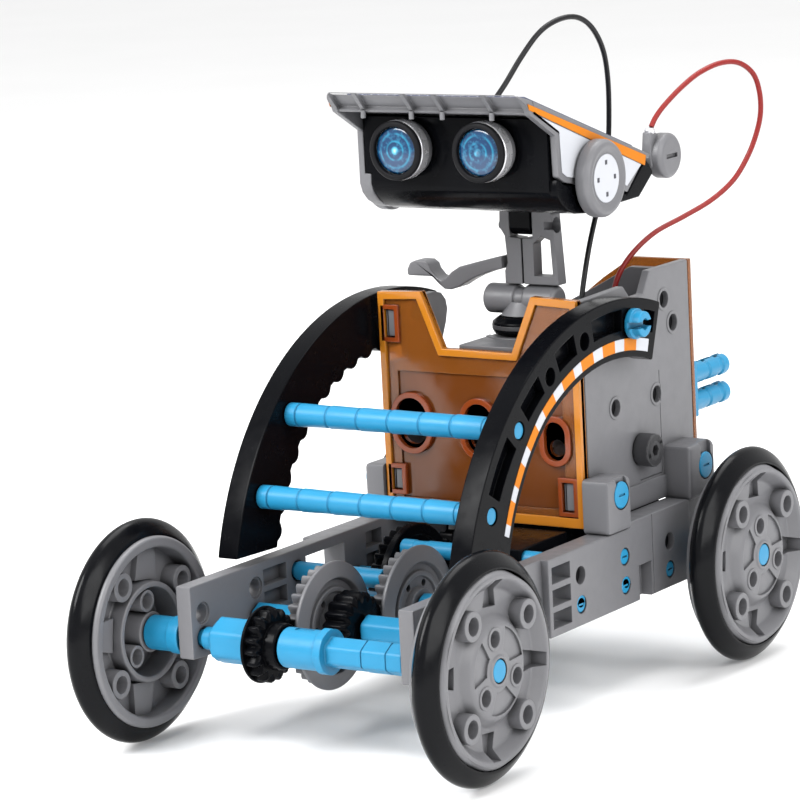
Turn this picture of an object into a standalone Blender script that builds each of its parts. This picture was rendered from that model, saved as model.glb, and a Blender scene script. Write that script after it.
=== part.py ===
"""Four-wheel robot car from a solar building kit, as separate pieces in one frame.

+Z is up, -Y is the front, +X is the car's left side as it drives. Every length below is in
millimetres, x from the mid plane, y backwards from the front axle and z up from the floor.
place() turns them into metres in the part's own frame, whose origin lies on the floor in the
middle of the car's length.
"""

import math

import bmesh
import bpy
from mathutils import Vector

MM = 0.001
GAP = 0.3  # clearance between pieces that touch or run in each other

# Driving dimensions.
PITCH = 8.0  # spacing of the kit's peg holes
PEG = 2.2  # radius of pegs and shafts
HOLE = PEG + GAP
WHEELBASE = 138.0
HALF_TRACK = 53.65
WHEEL_RADIUS = 30.0
RIM_RADIUS = 25.5
AXLE_Z = 30.0
REAR_Y = WHEELBASE
CENTRE_Y = 71.8  # from the front axle to the middle of the overall length

# Side beams.
BEAM_IN, BEAM_OUT, RAIL_OUT = 32.5, 37.2, 39.5
BEAM_FRONT, RAIL_FRONT, RAIL_BACK = -5.0, 56.0, 131.5
BEAM_LOW, BEAM_TOP = 23.2, 44.5
ROW_HIGH, ROW_LOW = AXLE_Z + PITCH, AXLE_Z

# Gears: module 1, so a pitch radius is half the number of teeth.
PINION_TEETH, CROWN_TEETH = 18, 30
GEAR_STEP = 3 * PITCH  # centre distance along the chassis
TRANSFER_TEETH, OUTPUT_DRIVE_TEETH, OUTPUT_TEETH = 22, 16, 24
REDUCTION_TEETH, SMALL_TEETH = 24, 8
FLANGE_RADIUS = 17.2

# Housing.
WALL_IN, WALL_OUT = 29.5, 32.0
HOUSE_FRONT, HOUSE_BACK = 90.8, 148.6
HOUSE_LOW, HOUSE_TOP = 45.6, 107.6
PANEL_FRONT, PANEL_BACK = 87.5, 90.5

# Fender arcs.
ARC_Y, ARC_Z = 94.0, 28.5
ARC_OUTER, ARC_INNER, ARC_HOLES = 79.0, 62.9, 72.0
ARC_IN, ARC_OUT = 33.2, 39.5
ARC_END, ARC_FOOT = math.radians(71.0), 47.0
BAR_ANGLES = {"upper": math.radians(132.9), "lower": math.radians(152.6)}
ARC_PIN_ANGLE = math.radians(82.5)
ARC_SPARE_ANGLES = [math.radians(101.9), math.radians(117.1)]

# Neck and head.
NECK_Y, KNUCKLE_Z, TILT_Z = 113.0, 103.3, 124.0
EYE_X, EYE_Z, EYE_RADIUS = 13.2, 149.5, 8.2
HEAD_HALF, FAR_HALF = 32.6, 30.4
EAR_Y, EAR_Z, EAR_RADIUS = 98.0, 140.0, 10.5

COLOURS = {
    "grey": ((0.29, 0.29, 0.31), 0.42, 0.0),
    "dark_grey": ((0.07, 0.07, 0.08), 0.45, 0.0),
    "black": ((0.012, 0.012, 0.014), 0.22, 0.0),
    "tyre": ((0.01, 0.01, 0.01), 0.3, 0.0),
    "blue": ((0.07, 0.42, 0.75), 0.35, 0.0),
    "orange": ((0.75, 0.22, 0.02), 0.15, 0.0),
    "lens": ((0.02, 0.25, 0.8), 0.1, 0.0),
    "silver": ((0.6, 0.6, 0.62), 0.25, 1.0),
    "brass": ((0.75, 0.5, 0.15), 0.3, 1.0),
    "cells": ((0.01, 0.015, 0.05), 0.15, 0.0),
    "white": ((0.8, 0.8, 0.8), 0.4, 0.0),
    "wire_black": ((0.01, 0.01, 0.01), 0.4, 0.0),
    "wire_red": ((0.5, 0.02, 0.02), 0.4, 0.0),
}


def clear_scene():
    for obj in list(bpy.data.objects):
        bpy.data.objects.remove(obj, do_unlink=True)


def place(x, y, z):
    return Vector((x, y - CENTRE_Y, z)) * MM


def material(name):
    found = bpy.data.materials.get(name)
    if found:
        return found
    colour, roughness, metallic = COLOURS[name]
    made = bpy.data.materials.new(name)
    made.use_nodes = True
    shader = made.node_tree.nodes["Principled BSDF"]
    shader.inputs["Base Color"].default_value = (*colour, 1.0)
    shader.inputs["Roughness"].default_value = roughness
    shader.inputs["Metallic"].default_value = metallic
    return made


# Shapes. Each returns a bmesh in metres. axis names the direction that a shape is drawn
# out along; a and b are the other two coordinates, in x, y, z order.


def point(axis, a, b, along):
    if axis == "X":
        return place(along, a, b)
    if axis == "Y":
        return place(a, along, b)
    return place(a, b, along)


def skinned(rings, closed=False):
    """Faces between rings of points, with flat ends unless the last ring meets the first."""
    bm = bmesh.new()
    loops = [[bm.verts.new(co) for co in ring] for ring in rings]
    pairs = list(zip(loops, loops[1:]))
    if closed:
        pairs.append((loops[-1], loops[0]))
    else:
        bm.faces.new(loops[0])
        bm.faces.new(loops[-1])
    for low, high in pairs:
        for i in range(len(low)):
            j = (i + 1) % len(low)
            bm.faces.new((low[i], low[j], high[j], high[i]))
    bmesh.ops.recalc_face_normals(bm, faces=bm.faces)
    return bm


def prism(axis, outline, low, high):
    return skinned([[point(axis, a, b, end) for a, b in outline] for end in (low, high)])


def box(x0, x1, y0, y1, z0, z1):
    return prism("Z", [(x0, y0), (x1, y0), (x1, y1), (x0, y1)], z0, z1)


def round_outline(a, b, radius, sides, phase=0.0):
    turn = 2 * math.pi / sides
    return [
        (a + radius * math.cos(phase + i * turn), b + radius * math.sin(phase + i * turn))
        for i in range(sides)
    ]


def rod(axis, a, b, radius, low, high, sides=16):
    return prism(axis, round_outline(a, b, radius, sides), low, high)


def turned(axis, a, b, profile, sides=24, closed=False, phase=0.0):
    """A profile of (along, radius) points, turned round the axis."""
    rings = [
        [point(axis, p, q, along) for p, q in round_outline(a, b, radius, sides, phase)]
        for along, radius in profile
    ]
    return skinned(rings, closed)


def gear(y, z, teeth, low, high, phase):
    """A spur gear on an axis along X, with a tooth centred at the phase angle."""
    radius = teeth / 2
    tip, root = radius + 0.85, radius - 1.1
    turn = 2 * math.pi / teeth
    outline = []
    for i in range(teeth):
        for share, r in ((0.0, tip), (0.5, root)):
            angle = phase + (i + share) * turn
            outline.append((y + r * math.cos(angle), z + r * math.sin(angle)))
    return prism("X", outline, low, high)


def meshed_phase(phase, teeth, other_teeth, direction):
    """The phase of a gear whose gaps meet this gear's teeth, in this direction from it."""
    return direction + math.pi + (direction - phase) * teeth / other_teeth + math.pi / other_teeth


def helper(bm, name):
    mesh = bpy.data.meshes.new(name)
    bm.to_mesh(mesh)
    bm.free()
    obj = bpy.data.objects.new(name, mesh)
    bpy.context.scene.collection.objects.link(obj)
    return obj


def combine(obj, bm, operation):
    tool = helper(bm, f"{obj.name}_tool_{len(obj.modifiers)}")
    tool.hide_render = True
    tool.display_type = "WIRE"
    modifier = obj.modifiers.new(operation.title(), "BOOLEAN")
    modifier.operation = operation
    modifier.object = tool
    tool.parent = obj
    tool.matrix_parent_inverse = obj.matrix_world.inverted()


def piece(name, colour, base, add=(), cut=(), pivot=None, smooth=True):
    """One named piece: base, joined with each shape in add, less each shape in cut."""
    obj = helper(base, name)
    if pivot:
        offset = place(*pivot)
        for vertex in obj.data.vertices:
            vertex.co -= offset
        obj.location = offset
        bpy.context.view_layer.update()
    for bm in add:
        combine(obj, bm, "UNION")
    for bm in cut:
        combine(obj, bm, "DIFFERENCE")
    obj.data.materials.append(material(colour))
    if smooth:
        obj.data.shade_smooth()
        obj.data.set_sharp_from_angle(angle=math.radians(35))
    return obj


def sided(side, low, high):
    """An x range on the +X side, or mirrored to the -X side."""
    return (low, high) if side > 0 else (-high, -low)


def arc_point(angle, radius=ARC_HOLES):
    return ARC_Y + radius * math.cos(angle), ARC_Z + radius * math.sin(angle)


# Wheels and axles.


def wheel(name, side, y):
    """Dished hub with four tubes set in a square, and its tyre."""
    middle = side * HALF_TRACK
    pivot = (0, y, AXLE_Z)
    hub_profile = (
        (-5.4, RIM_RADIUS), (-5.4, 22.8), (-0.6, 22.2), (-0.6, 6.0), (-4.2, 5.2),
        (-4.2, HOLE), (5.2, HOLE), (5.2, 11.8), (2.0, 15.0), (2.0, 20.4), (4.9, 23.0), (4.9, 24.4), (3.0, RIM_RADIUS),
    )
    profile = [(middle + side * x, r) for x, r in hub_profile]
    half_square = 12.8
    outer = [(y + i * half_square, AXLE_Z + j * half_square) for i in (-1, 1) for j in (-1, 1)]
    low, high = sorted((middle - side * 4.2, middle + side * 5.7))
    add = [rod("X", a, b, 3.9, low, high, 8) for a, b in outer]
    piece(f"wheel_{name}", "grey", turned("X", y, AXLE_Z, profile, 24, True), add, pivot=pivot)

    sides = 28
    flat = 1 / math.cos(math.pi / sides)  # a facet, not a corner, stands on the floor
    tyre_profile = (
        (-4.0, RIM_RADIUS + 0.3), (-3.2, 27.2), (-2.0, 28.8), (-0.8, WHEEL_RADIUS),
        (0.8, WHEEL_RADIUS), (2.1, 28.6), (3.4, 26.9), (4.0, RIM_RADIUS + 0.3),
    )
    profile = [(middle + side * x, r * flat) for x, r in tyre_profile]
    tyre = turned("X", y, AXLE_Z, profile, sides, True, math.pi / sides)
    piece(f"tyre_{name}", "tyre", tyre, pivot=pivot)


def shaft_profile(steps):
    """Radii along a shaft: each step is (end, radius), from the near end onwards."""
    start = steps[0]
    profile = []
    at = start
    for end, radius in steps[1:]:
        profile += [(at, radius), (end, radius)]
        at = end
    return profile


def wheel_axle(name, y, steps):
    profile = shaft_profile(steps)
    piece(name, "blue", turned("X", y, AXLE_Z, profile, 12), pivot=(0, y, AXLE_Z))


def crown_gear(name, y, flange_x, phase):
    """A toothed ring with a smooth flange on its +X side and a dished face."""
    teeth = gear(y, AXLE_Z, CROWN_TEETH, flange_x - 5.4, flange_x - 0.8, phase)
    flange = rod("X", y, AXLE_Z, FLANGE_RADIUS, flange_x - 0.9, flange_x + 0.8, 32)
    dish = turned("X", y, AXLE_Z, [(flange_x - 1.6, 11.0), (flange_x + 1.0, 12.4)], 20)
    hub = rod("X", y, AXLE_Z, 5.6, flange_x - 5.4, flange_x + 1.2, 12)
    bore = rod("X", y, AXLE_Z, HOLE, flange_x - 6, flange_x + 2, 10)
    piece(name, "grey", teeth, [flange], [dish], pivot=(0, y, AXLE_Z))
    obj = bpy.data.objects[name]
    combine(obj, hub, "UNION")
    combine(obj, bore, "DIFFERENCE")


def pinion(name, y, low, high, phase, flange=None):
    add = [rod("X", y, AXLE_Z, 10.2, *flange, 20)] if flange else []
    bore = rod("X", y, AXLE_Z, HOLE, low - 5, high + 5, 10)
    teeth = gear(y, AXLE_Z, PINION_TEETH, low, high, phase)
    piece(name, "black", teeth, add, [bore], (0, y, AXLE_Z))


def running_gear():
    """Four wheels on two axles, and the gear train from the gearbox to the front axle."""
    for name, side, y in (
        ("front_left", 1, 0), ("front_right", -1, 0), ("rear_left", 1, REAR_Y), ("rear_right", -1, REAR_Y)
    ):
        wheel(name, side, y)
    end = HALF_TRACK + 5.4
    boss = HALF_TRACK - 4.5
    wheel_axle("front_axle", 0, [
        -end, (-boss, PEG), (-BEAM_OUT - 0.8, 5.0), (-28.6, PEG), (-14.2, 5.9), (-5.6, PEG),
        (6.2, 5.4), (8.4, 6.2), (BEAM_IN - 0.6, 4.0), (BEAM_OUT + 0.8, PEG), (boss, 5.0), (end, PEG),
    ])
    wheel_axle("rear_axle", REAR_Y, [
        -end, (-boss, PEG), (-RAIL_OUT - 0.8, 5.0), (-BEAM_IN + 0.6, PEG),
        (BEAM_IN - 0.6, 3.6), (RAIL_OUT + 0.8, PEG), (boss, 5.0), (end, PEG),
    ])

    # Phases are handed on from the front pinion backwards, so that all teeth interleave.
    second_y, third_y, fourth_y, fifth_y = (GEAR_STEP * n for n in (1, 2, 3, 4))
    front = 0.0
    second = meshed_phase(front, PINION_TEETH, CROWN_TEETH, 0)
    third = meshed_phase(second, PINION_TEETH, CROWN_TEETH, 0)
    fourth = meshed_phase(third, CROWN_TEETH, PINION_TEETH, 0)
    fifth = meshed_phase(fourth, CROWN_TEETH, PINION_TEETH, 0)

    pinion("front_pinion", 0, -13.2, -9.1, front, flange=(-13.9, -13.1))
    combine(bpy.data.objects["front_pinion"], turned("X", 0, AXLE_Z, [(-9.3, 6.4), (-5.9, 6.0)], 20), "UNION")
    combine(bpy.data.objects["front_pinion"], rod("X", 0, AXLE_Z, HOLE, -15.0, -5.0, 10), "DIFFERENCE")
    crown_gear("crown_gear_front", second_y, -7.4, second)
    pinion("second_pinion", second_y, -5.8, 2.2, second)
    crown_gear("crown_gear_rear", third_y, 3.5, third)
    beam_end = BEAM_OUT - 0.2
    wheel_axle("second_axle", second_y, [
        -beam_end, (-BEAM_IN + 0.6, PEG), (-13.3, 4.0), (3.0, PEG), (BEAM_IN - 0.6, 3.7), (beam_end, PEG),
    ])
    wheel_axle("third_axle", third_y, [
        -beam_end, (-BEAM_IN + 0.6, PEG), (-2.6, 3.4), (5.2, PEG), (BEAM_IN - 0.6, 3.7), (beam_end, PEG),
    ])
    rail_end = RAIL_OUT - 0.2
    for name, y, parts in (
        ("fourth_axle", fourth_y, [(PINION_TEETH, -3.2, 2.2, fourth), (CROWN_TEETH, -19.0, -14.4, fourth)]),
        ("fifth_axle", fifth_y, [(PINION_TEETH, -19.8, -14.9, fifth)]),
    ):
        profile = shaft_profile([
            -rail_end, (-BEAM_IN + 0.6, PEG), (BEAM_IN - 0.6, 3.6), (rail_end, PEG),
        ])
        add = [gear(y, AXLE_Z, n, low, high, phase) for n, low, high, phase in parts]
        if name == "fourth_axle":
            add.append(rod("X", y, AXLE_Z, FLANGE_RADIUS, -14.5, -12.8, 20))
        piece(name, "blue", turned("X", y, AXLE_Z, profile, 12), add, pivot=(0, y, AXLE_Z))
    return fifth


# Gearbox inside the housing.


def crossing(p, p_radius, q, q_radius):
    """The upper of the two points at these distances from p and q."""
    dy, dz = q[0] - p[0], q[1] - p[1]
    apart = math.hypot(dy, dz)
    along = (p_radius**2 - q_radius**2 + apart**2) / (2 * apart)
    aside = math.sqrt(p_radius**2 - along**2)
    return p[0] + (along * dy - aside * dz) / apart, p[1] + (along * dz + aside * dy) / apart


OUTPUT_ANGLE = math.radians(54.7)
FIFTH = (GEAR_STEP * 4, AXLE_Z)
TRANSFER_REACH = (PINION_TEETH + TRANSFER_TEETH) / 2
OUTPUT_REACH = TRANSFER_REACH + (TRANSFER_TEETH + OUTPUT_DRIVE_TEETH) / 2
TRANSFER, OUTPUT = (
    (FIFTH[0] + reach * math.cos(OUTPUT_ANGLE), FIFTH[1] + reach * math.sin(OUTPUT_ANGLE))
    for reach in (TRANSFER_REACH, OUTPUT_REACH)
)
MOTOR = (105.8, 57.9)
REDUCTION = crossing(
    MOTOR, (REDUCTION_TEETH + SMALL_TEETH) / 2, OUTPUT, (OUTPUT_TEETH + SMALL_TEETH) / 2
)


def direction(p, q):
    return math.atan2(q[1] - p[1], q[0] - p[0])


def gearbox(fifth):
    """Motor, reduction and output shaft, with the transfer gear down to the fifth axle."""
    transfer = meshed_phase(fifth, PINION_TEETH, TRANSFER_TEETH, OUTPUT_ANGLE)
    drive = meshed_phase(transfer, TRANSFER_TEETH, OUTPUT_DRIVE_TEETH, OUTPUT_ANGLE)
    small = meshed_phase(drive, OUTPUT_TEETH, SMALL_TEETH, direction(OUTPUT, REDUCTION))
    motor = meshed_phase(small, REDUCTION_TEETH, SMALL_TEETH, direction(REDUCTION, MOTOR))

    can = turned("X", *MOTOR, [(4.4, 9.0), (5.4, 9.6), (25.0, 9.6), (26.2, 8.4)], 20)
    cradle = box(7, 23, MOTOR[0] - 8, MOTOR[0] + 8, HOUSE_LOW + 2.2, MOTOR[1] - 4)
    piece("motor", "silver", can, [cradle], [rod("X", *MOTOR, 1.6, 3, 10, 12)])
    shaft = rod("X", *MOTOR, 1.2, -4.4, 9, 8)
    piece("motor_pinion", "brass", gear(*MOTOR, SMALL_TEETH, -4.2, 3.6, motor), [shaft], pivot=(0, *MOTOR))

    shaft = rod("X", *REDUCTION, 1.6, -WALL_IN + GAP, WALL_IN - GAP, 12)
    teeth = gear(*REDUCTION, SMALL_TEETH, -10.4, -4.0, small)
    wide = gear(*REDUCTION, REDUCTION_TEETH, -4.2, 0.8, small)
    piece("reduction_gear", "white", wide, [teeth, shaft], pivot=(0, *REDUCTION))

    sleeve = WALL_OUT + GAP
    tip = 36.9
    profile = shaft_profile([-tip, (-sleeve, 4.6), (sleeve, 2.8), (tip, 4.6)])
    add = [
        gear(*OUTPUT, OUTPUT_DRIVE_TEETH, -19.8, -13.8, drive),
        gear(*OUTPUT, OUTPUT_TEETH, -9.8, -5.0, drive),
    ]
    cut = [rod("X", *OUTPUT, 1.7, x - 3, x + 3, 6) for x in (-tip, tip)]
    piece("output_shaft", "dark_grey", turned("X", *OUTPUT, profile, 12), add, cut, (0, *OUTPUT))

    shaft = rod("X", *TRANSFER, 1.6, -25.0, -9.0, 10)
    teeth = gear(*TRANSFER, TRANSFER_TEETH, -19.8, -13.8, transfer)
    piece("transfer_gear", "white", teeth, [shaft], pivot=(0, *TRANSFER))


# Chassis.


def ladder(side, y0, y1, x0, x1):
    """Three windows, one above another, between two ribs."""
    low, high = sided(side, x0, x1)
    step = (BEAM_TOP - BEAM_LOW - 3.0) / 3
    return [
        box(low, high, y0, y1, BEAM_LOW + 2.2 + n * step, BEAM_LOW + 0.6 + (n + 1) * step)
        for n in range(3)
    ]


def side_beam(name, side):
    outline = [
        (BEAM_FRONT, 25.0), (BEAM_FRONT, BEAM_TOP), (98.9, BEAM_TOP), (98.9, 45.9), (130.7, 45.9), (130.7, 45.2),
        (145.0, 45.2), (145.0, 24.5), (RAIL_BACK, 24.5), (129.5, BEAM_LOW), (40.0, BEAM_LOW),
    ]
    base = prism("X", outline, *sided(side, BEAM_IN, RAIL_OUT))
    slim = sided(side, BEAM_OUT, RAIL_OUT + 1)
    cut = [
        box(*slim, BEAM_FRONT - 1, RAIL_FRONT, 20, 50),
        box(*slim, RAIL_BACK, 150, 20, 50),
    ]
    through = sided(side, BEAM_IN - 1, RAIL_OUT + 1)
    holes = [(GEAR_STEP * n, ROW_LOW) for n in range(5)] + [(REAR_Y, AXLE_Z)]
    holes += [(0, ROW_HIGH), (GEAR_STEP, ROW_HIGH), (72, ROW_HIGH), (96, ROW_HIGH), (120, 37.2), (120, 29.2)]
    holes += [(43.5, 38.5)] if side < 0 else []
    cut += [rod("X", a, b, HOLE, *through, 8) for a, b in holes]
    if side > 0:
        cut += ladder(side, 57.5, 66.8, BEAM_IN - 1, RAIL_OUT + 1)
        cut.append(box(*sided(side, 36.0, 41.0), 102.5, 109.5, 20, 33.0))
    else:
        cut.append(box(*through, 47.5, 66.0, 27.0, 41.6))
        cut += ladder(side, 27.6, 38.2, BEAM_IN - 1, BEAM_IN + 2.6)
        cut += ladder(side, 76.4, 84.4, BEAM_IN - 1, BEAM_IN + 3.4)
    piece(name, "grey", base, cut=cut)


def chassis():
    side_beam("side_beam_left", 1)
    side_beam("side_beam_right", -1)

    inner = BEAM_IN - GAP
    floor = box(-WALL_IN + GAP, WALL_IN - GAP, HOUSE_FRONT, HOUSE_BACK - 0.2, 45.0, 47.2)
    beam = box(-inner, inner, 117.0, 129.5, 24.0, 45.2)
    slot = box(-21.4, -12.4, 93.5, 121.5, 20, 50)
    wells = [box(x0, x1, 119.0, 127.5, 22, 43) for x0, x1 in ((-11, 10), (13, 29))]
    journal = rod("X", *TRANSFER, 1.6 + 2 * GAP, -26.0, -8.0, 10)
    piece("chassis_base", "grey", floor, [beam], [slot, journal, *wells])

    bracket = box(6.0, 27.0, 62.0, 86.5, 35.0, 45.0)
    trims = [box(5, 28, 66, 82, 34, 39), rod("X", 65.0, 42.0, HOLE, 5, 28, 12)]
    post = rod("Z", 20.0, 83.0, 3.4, 30.0, 44.0, 12)
    piece("gear_bracket", "black", bracket, [post], trims)
    rod_profile = [(-12, PEG + 0.2), (5.4, PEG + 0.2), (5.4, PEG), (inner - 0.1, PEG)]
    piece("middle_rod", "blue", turned("X", 65.0, 42.0, rod_profile, 12))

    profile = [(-BEAM_OUT + 0.2, PEG), (-BEAM_IN + GAP, PEG), (-BEAM_IN + GAP, 2.6), (-4.2, 2.6)]
    piece("front_peg", "blue", turned("X", 43.5, 38.5, profile, 12))


# Housing.


def side_panel(name, side):
    tall = [(113, HOUSE_TOP + 0.6), (116.5, 104.4), (123.5, 104.4), (127.5, 110.4), (HOUSE_BACK, 110.4)]
    lobe = [(98.5, 88.0), (99.5, 99.0), (102, 103.2), (106, 104.2), (113.5, 104.2), (117.5, 102.4), (119.1, 98.5)]
    short = [*lobe, (114.9, 88.4), (119.0, 85.5), (HOUSE_BACK, 80.0)]
    front_top, top = (HOUSE_TOP, tall) if side > 0 else (88.0, short)
    outline = [(HOUSE_FRONT, HOUSE_LOW), (HOUSE_FRONT, front_top), *top, (HOUSE_BACK, HOUSE_LOW)]
    base = prism("X", outline, *sided(side, WALL_IN, WALL_OUT))
    block = sided(side, WALL_OUT - 1, 40.5)
    front = prism("X", [(86.0, HOUSE_LOW), (98.6, HOUSE_LOW), (98.6, 58.6), (97.6, 59.4), (86.0, 59.4)], *block)
    back = prism("X", [(131, HOUSE_LOW), (145.3, HOUSE_LOW), (145.3, 59.6), (144, 60.6), (131, 60.6)], *block)
    panel_clear = box(*sided(side, 20, WALL_OUT + GAP), 80, PANEL_BACK + GAP, 40, 70)
    through = sided(side, WALL_IN - 1, 42)
    wall = sided(side, WALL_IN - 1, WALL_OUT + 1)
    cut = [panel_clear]
    cut += [rod("X", a, b, HOLE, *through, 8) for a, b in (TIE_FRONT, TIE_BACK)]
    cut += [rod("X", a, b, 4.1, *sided(side, 39.6, 42), 12) for a, b in (TIE_FRONT, TIE_BACK)]
    cut.append(rod("X", *OUTPUT, 3.2, *wall, 12))
    cut.append(rod("X", *arc_point(ARC_PIN_ANGLE), HOLE, *wall, 8))
    if side > 0:
        spare = ((134.3, 101.3), (138.8, 94.1), (128.4, 75.6), (106.0, 75.7))
        cut += [rod("X", a, b, HOLE - 0.1, *wall, 8) for a, b in spare]
    piece(name, "grey", base, [front, back], cut)


TIE_FRONT, TIE_BACK = (93.4, 54.6), (139.9, 53.9)


def housing():
    side_panel("side_panel_left", 1)
    side_panel("side_panel_right", -1)
    for name, centre in (("front_tie_rod", TIE_FRONT), ("rear_tie_rod", TIE_BACK)):
        steps = [-40.6, (-39.9, 3.7), (39.9, PEG), (40.6, 3.7)]
        piece(name, "blue", turned("X", *centre, shaft_profile(steps), 12))

    # Clear front panel, with a deep cut in its top edge and a stepped outline.
    outline = [
        (-WALL_OUT, 50.0), (-WALL_OUT, 108.0), (-17.8, 108.6), (-11.4, 93.0), (11.0, 92.8),
        (17.8, 108.6), (WALL_OUT, 108.0), (WALL_OUT, 45.6), (-28.0, 45.6),
    ]
    base = prism("Y", outline, PANEL_FRONT, PANEL_BACK)
    hollow = prism("Y", [(-29.4, 48), (29.4, 48), (29.4, 90), (-29.4, 90)], PANEL_FRONT + 1.6, PANEL_BACK + 1)
    windows = [
        box(-31.0, -26.0, PANEL_FRONT - 1, PANEL_BACK + 1, 95.0, 103.5),
        box(-31.0, -26.0, PANEL_FRONT - 1, PANEL_BACK + 1, 52.0, 59.0),
        box(24.6, 29.6, PANEL_FRONT - 1, PANEL_BACK + 1, 49.5, 58.5),
    ]
    piece("front_panel", "orange", base, cut=[hollow, *windows], smooth=False)

    outline = [
        (-WALL_OUT, 46), (-WALL_OUT, 80), (-10, 80), (-4, 98), (4, 104), (14, 110.4),
        (WALL_OUT, 110.4), (WALL_OUT, 46),
    ]
    piece("rear_panel", "orange", prism("Y", outline, HOUSE_BACK + GAP, 150.6), smooth=False)

    # Top deck that the neck stands on, with a wall up the back.
    deck = box(-8.0, WALL_IN - GAP, HOUSE_FRONT, 146.0, 91.4, 93.8)
    wall_outline = [(-4, 91.4), (-4, 98), (6, 103), (16, 108.4), (WALL_IN - GAP, 108.4), (WALL_IN - GAP, 91.4)]
    wall = prism("Y", wall_outline, 143.6, 146.0)
    wire_holes = [rod("Z", 16.0, y, 3.0, 85, 100, 12) for y in (116.0, 133.0)]
    piece("top_deck", "grey", deck, [wall], wire_holes)

    fork = box(25.0, 31.0, 151.0, 154.0, 64.5, 80.5)
    prongs = [rod("Y", 28.0, z, 3.1, 153.0, 173.6, 12) for z in (76.4, 68.4)]
    slots = [box(27.3, 28.7, 157.0, 175.0, z - 4, z + 4) for z in (76.4, 68.4)]
    piece("rear_fork", "blue", fork, prongs, slots)


# Fender arcs.


def arc_inner(angle):
    """The arc's inner radius, which shrinks towards its foot."""
    return ARC_INNER - 2.4 * max(0.0, math.degrees(angle) - 125) / 30


def arc_outline(serrated):
    top = ARC_END
    foot = lambda radius: math.pi - math.asin((ARC_FOOT - ARC_Z) / radius)
    steps = 18
    outer = [arc_point(top + (foot(ARC_OUTER) - top) * i / steps, ARC_OUTER) for i in range(steps + 1)]
    inner = []
    teeth = 9
    for i in range(steps + 1):
        share = i / steps
        bump = 1.3 * math.sin(2 * math.pi * teeth * share) if serrated else 0.0
        angle = top + (foot(ARC_INNER) - top) * share
        inner.append(arc_point(angle, arc_inner(angle) - bump))
    return outer + inner[::-1]


def arc_pocket(start, end, low, high):
    steps = 2
    angles = [start + (end - start) * i / steps for i in range(steps + 1)]
    outline = [arc_point(a, 76.6) for a in angles] + [arc_point(a, 68.0) for a in reversed(angles)]
    return prism("X", outline, low, high)


def fender_arc(name, side):
    base = prism("X", arc_outline(side < 0), *sided(side, ARC_IN, ARC_OUT))
    through = sided(side, ARC_IN - 1, ARC_OUT + 1)
    angles = [ARC_PIN_ANGLE, *ARC_SPARE_ANGLES, *BAR_ANGLES.values()]
    cut = [rod("X", *arc_point(a), HOLE, *through, 8) for a in angles]
    recess = sided(side, ARC_OUT - 2.2, ARC_OUT + 1)
    margin = math.radians(4.0)
    cut += [arc_pocket(a + margin, b - margin, *recess) for a, b in zip(angles, angles[1:])]
    piece(name, "black", base, cut=cut)


def fenders():
    fender_arc("fender_arc_left", 1)
    fender_arc("fender_arc_right", -1)
    for name, angle in BAR_ANGLES.items():
        end = ARC_IN - GAP
        steps = [-ARC_OUT + GAP, (-end, PEG), (end, 3.2), (ARC_OUT - GAP, PEG)]
        piece(f"crossbar_{name}", "blue", turned("X", *arc_point(angle), shaft_profile(steps), 12))
    for name, side in (("left", 1), ("right", -1)):
        steps = [WALL_IN - 0.8, (ARC_OUT + GAP, PEG), (ARC_OUT + 2.6, 4.2), (ARC_OUT + 4.6, 3.4)]
        profile = [(side * x, r) for x, r in shaft_profile(steps)]
        slot_low, slot_high = sided(side, ARC_OUT + 1.4, ARC_OUT + 6)
        y, z = arc_point(ARC_PIN_ANGLE)
        slot = box(slot_low, slot_high, y - 6, y + 6, z - 0.9, z + 0.9)
        piece(f"arc_pin_{name}", "blue", turned("X", y, z, profile, 12), cut=[slot])


# Neck and head.


def neck():
    disc = [(94.1, 8.2), (95.2, 9.2), (98.0, 9.2), (99.0, 7.6)]
    piece("neck_disc", "black", turned("Z", 0, NECK_Y, disc, 24))
    knuckle = turned("X", NECK_Y, KNUCKLE_Z, [
        (-11.6, 3.0), (-10.6, 4.2), (10.6, 4.2), (11.6, 3.0),
    ], 16)
    foot = turned("Z", 0, NECK_Y, [(99.3, 6.6), (101.0, 5.4), (103.0, 4.4)], 16)
    piece("neck_knuckle", "grey", knuckle, [foot])

    low = 107.8
    right = [
        (0.9, low), (0.9, 120.6), (-2.6, 121.0), (-2.6, 128.4), (-5.8, 128.4), (-6.0, 123.6),
        (-4.4, 121.2), (-3.8, 113.6), (-4.8, 111.4), (-4.8, low),
    ]
    left = [
        (1.3, low), (1.3, 120.6), (4.6, 121.0), (4.6, 128.4), (11.0, 128.4), (11.4, 127.0), (12.6, low),
    ]
    slot = prism("Y", [(4.8, 110.2), (10.6, 110.2), (10.0, 120.4), (7.4, 121.4), (4.8, 119.2)], 100, 125)
    plate = (NECK_Y - 2.0, NECK_Y + 2.4)
    piece("neck_half_right", "grey", prism("Y", right, *plate), cut=[rod("X", NECK_Y, TILT_Z, 1.5, -20, 0, 12)])
    tilt_pin = rod("X", NECK_Y, TILT_Z, 1.2, -6.6, 8.0, 12)
    piece("neck_half_left", "grey", prism("Y", left, *plate), [tilt_pin], [slot])

    # Bent lever from the neck out over the right-hand wall.
    lever = [
        (-4.9, 115.7), (-4.9, 112.0), (-8.2, 111.3), (-13.9, 109.3), (-17.0, 107.8), (-19.7, 106.2), (-24.0, 105.3),
        (-25.2, 105.5), (-28.6, 108.9), (-37.0, 108.9), (-36.8, 110.7), (-35.8, 112.6), (-33.8, 113.3),
        (-30.7, 113.2), (-29.3, 112.2), (-28.8, 110.8), (-27.2, 109.2), (-24.9, 108.2), (-22.1, 110.4),
        (-19.4, 112.0), (-12.4, 113.8),
    ]
    piece("neck_lever", "grey", prism("Y", lever, NECK_Y - 3.0, NECK_Y + 3.0))


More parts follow.
